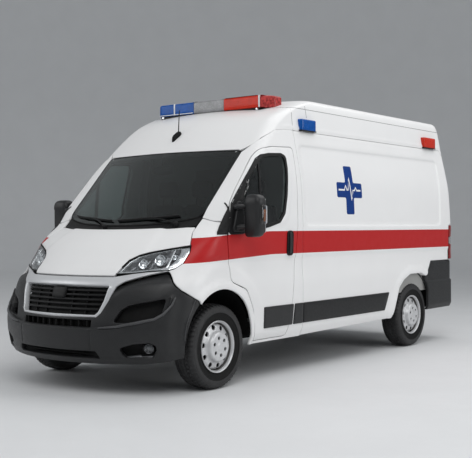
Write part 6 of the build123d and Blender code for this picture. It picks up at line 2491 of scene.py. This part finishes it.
@dataclass
class LoadSpace:
    """Lining boards of the load space."""

    def build(self) -> None:
        """Line both side walls."""
        for name, side in SIDES:
            chart = Chart(Side.SIDE, side)
            loop = rounded([(-.520, .60), (2.520, .60), (2.520, 2.12), (-.520, 2.12)], .04)
            lines = [spaced([(-.5, z), (2.5, z)], .05) for z in (1.10, 1.13, 1.60, 1.63)]

            def relief(_u: np.ndarray, z: np.ndarray) -> np.ndarray:
                """Two pressed rails along the board."""
                return -.006 * (ease(z, 1.095, 1.105) * ease(z, 1.135,
                                                             1.125) + ease(z, 1.595,
                                                                           1.605) * ease(z, 1.635, 1.625))

            board = panel_mesh(chart, loop, relief=relief, lines=lines, raised=-.056, step=.05,
                               edge=Edge(.003, ((0, .008),)))
            solid(f"load_lining_{name}", *board, LINER)


@dataclass
class CarriedNodes:
    """CAD nodes that show as they are, under their own finishes."""

    finishes: tuple[tuple[str, Finish], ...] = (
        ("floor", MAT_FLOOR), ("bulkhead", LINER), ("firewall", UNDERSEAL), ("wheel_houses", UNDERSEAL),
        ("chassis_rails", UNDERSEAL), ("front_subframe", UNDERSEAL),
                                                ("engine_block", CAST), ("radiator", BARE),
        ("exhaust", BARE), ("fuel_tank", UNDERSEAL), ("rear_axle", UNDERSEAL), ("knuckle_left", CAST),
        ("knuckle_right", CAST))

    def build(self) -> None:
        """Lay each node's finish over it."""
        for name, finish in self.finishes:
            node = frame["nodes"][name]
            node.data.materials.clear()
            node.data.materials.append(finish.material())
            log.info("%s: carried as %s", name, finish.name)


ASSEMBLIES = [Seats(), BodyShell(), Windshield(), *(FrontDoor(name, side) for name, side in SIDES),
              SideTrim(),
              FrontEnd(), *(Wheel(end, name, side) for end in ("front", "rear") for name, side in SIDES),
              *(RearDoor(name, side) for name, side in SIDES), RearEnd(), RoofLamps(), Cab(), LoadSpace(),
              CarriedNodes()]


# ---- studio ------------------------------------------------------------------
@dataclass
class Studio:
    """Floor, lamps and camera."""

    camera_at: tuple[float, float, float] = (5.7539, -7.6970, 1.3261)
    azimuth: float = 37.72
    elevation: float = 0.35
    roll: float = -0.26
    lens: float = 70.98
    shift: tuple[float, float] = (0.0031, 0.0084)

    def build(self) -> None:
        """Build the floor, lamps, world and camera."""
        self.floor()
        self.lamp("key", (4.5, -5.5, 6.5), 5.0, 230.0)
        self.lamp("front_fill", (-5.5, -7.0, 4.5), 5.0, 150.0)
        self.lamp("overhead", (2.2, 2.6, 7.5), 6.0, 220.0)
        self.lamp("side_fill", (8.5, 2.5, 3.2), 4.0, 175.0)
        self.world()
        self.camera()

    def floor(self) -> None:
        """Pale floor that curves up into a wall all round."""
        finish = Finish("studio_floor", (0.72, 0.73, 0.74), 0.6, grain=(300.0, 0.02), mottle=(1.5, 0.03))
        bend = [(18 + 6 * math.sin(t), 6 - 6 * math.cos(t)) for t in np.linspace(0, math.pi / 2, 12)]
        verts, faces = lathe([(.01, 0), (6, 0), (12, 0), *bend, (24, 12)], (0, 0, 0), (0, 0, 1), 96)
        faces.append(tuple(range(96)))
        mesh = bpy.data.meshes.new("studio_floor")
        mesh.from_pydata(verts.tolist(), [], faces)
        mesh.shade_smooth()
        mesh.materials.append(finish.material())
        obj = bpy.data.objects.new("studio_floor", mesh)
        bpy.context.scene.collection.objects.link(obj)

    def lamp(self, name: str, at: Sequence[float], size: float, power: float) -> None:
        """Add a square soft lamp aimed at the vehicle's middle.

        Args:
            name: lamp name.
            at: position.
            size: side of the lamp.
            power: strength in watts.
        """
        data = bpy.data.lights.new(name, "AREA")
        data.size = size
        data.energy = power
        obj = bpy.data.objects.new(name, data)
        obj.location = at
        obj.rotation_mode = "QUATERNION"
        obj.rotation_quaternion = (Vector((0, -0.5, 1.1)) - Vector(at)).to_track_quat("-Z", "Y")
        bpy.context.scene.collection.objects.link(obj)

    def world(self) -> None:
        """Pale backdrop for the camera, softer light for the rest."""
        world = bpy.data.worlds.new("studio_world")
        world.use_nodes = True
        tree = world.node_tree
        background = tree.nodes["Background"]
        background.inputs["Color"].default_value = (0.80, 0.82, 0.84, 1.0)
        path = tree.nodes.new("ShaderNodeLightPath")
        blend = tree.nodes.new("ShaderNodeMapRange")
        blend.inputs["To Min"].default_value = 0.5
        blend.inputs["To Max"].default_value = 0.95
        tree.links.new(path.outputs["Is Camera Ray"], blend.inputs["Value"])
        tree.links.new(blend.outputs["Result"], background.inputs["Strength"])
        bpy.context.scene.world = world

    def camera(self) -> None:
        """Camera at the reference angle."""
        data = bpy.data.cameras.new("camera")
        data.lens = self.lens
        data.shift_x, data.shift_y = self.shift
        obj = bpy.data.objects.new("camera", data)
        az, el = math.radians(self.azimuth), math.radians(self.elevation)
        back = Vector((math.sin(az) * math.cos(el), -math.cos(az) * math.cos(el), math.sin(el)))
        look = (-back).to_track_quat("-Z", "Y").to_matrix().to_4x4()
        obj.matrix_world = (Matrix.Translation(self.camera_at) @ look
                            @ Matrix.Rotation(math.radians(self.roll), 4, "Z"))
        bpy.context.scene.collection.objects.link(obj)
        bpy.context.scene.camera = obj


def main() -> None:
    """Build every assembly and the studio."""
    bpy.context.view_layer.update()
    for assembly in ASSEMBLIES:
        assembly.build()
    Studio().build()
    scene = bpy.context.scene
    scene.view_settings.view_transform = "Standard"


if __name__ == "__main__":
    main()
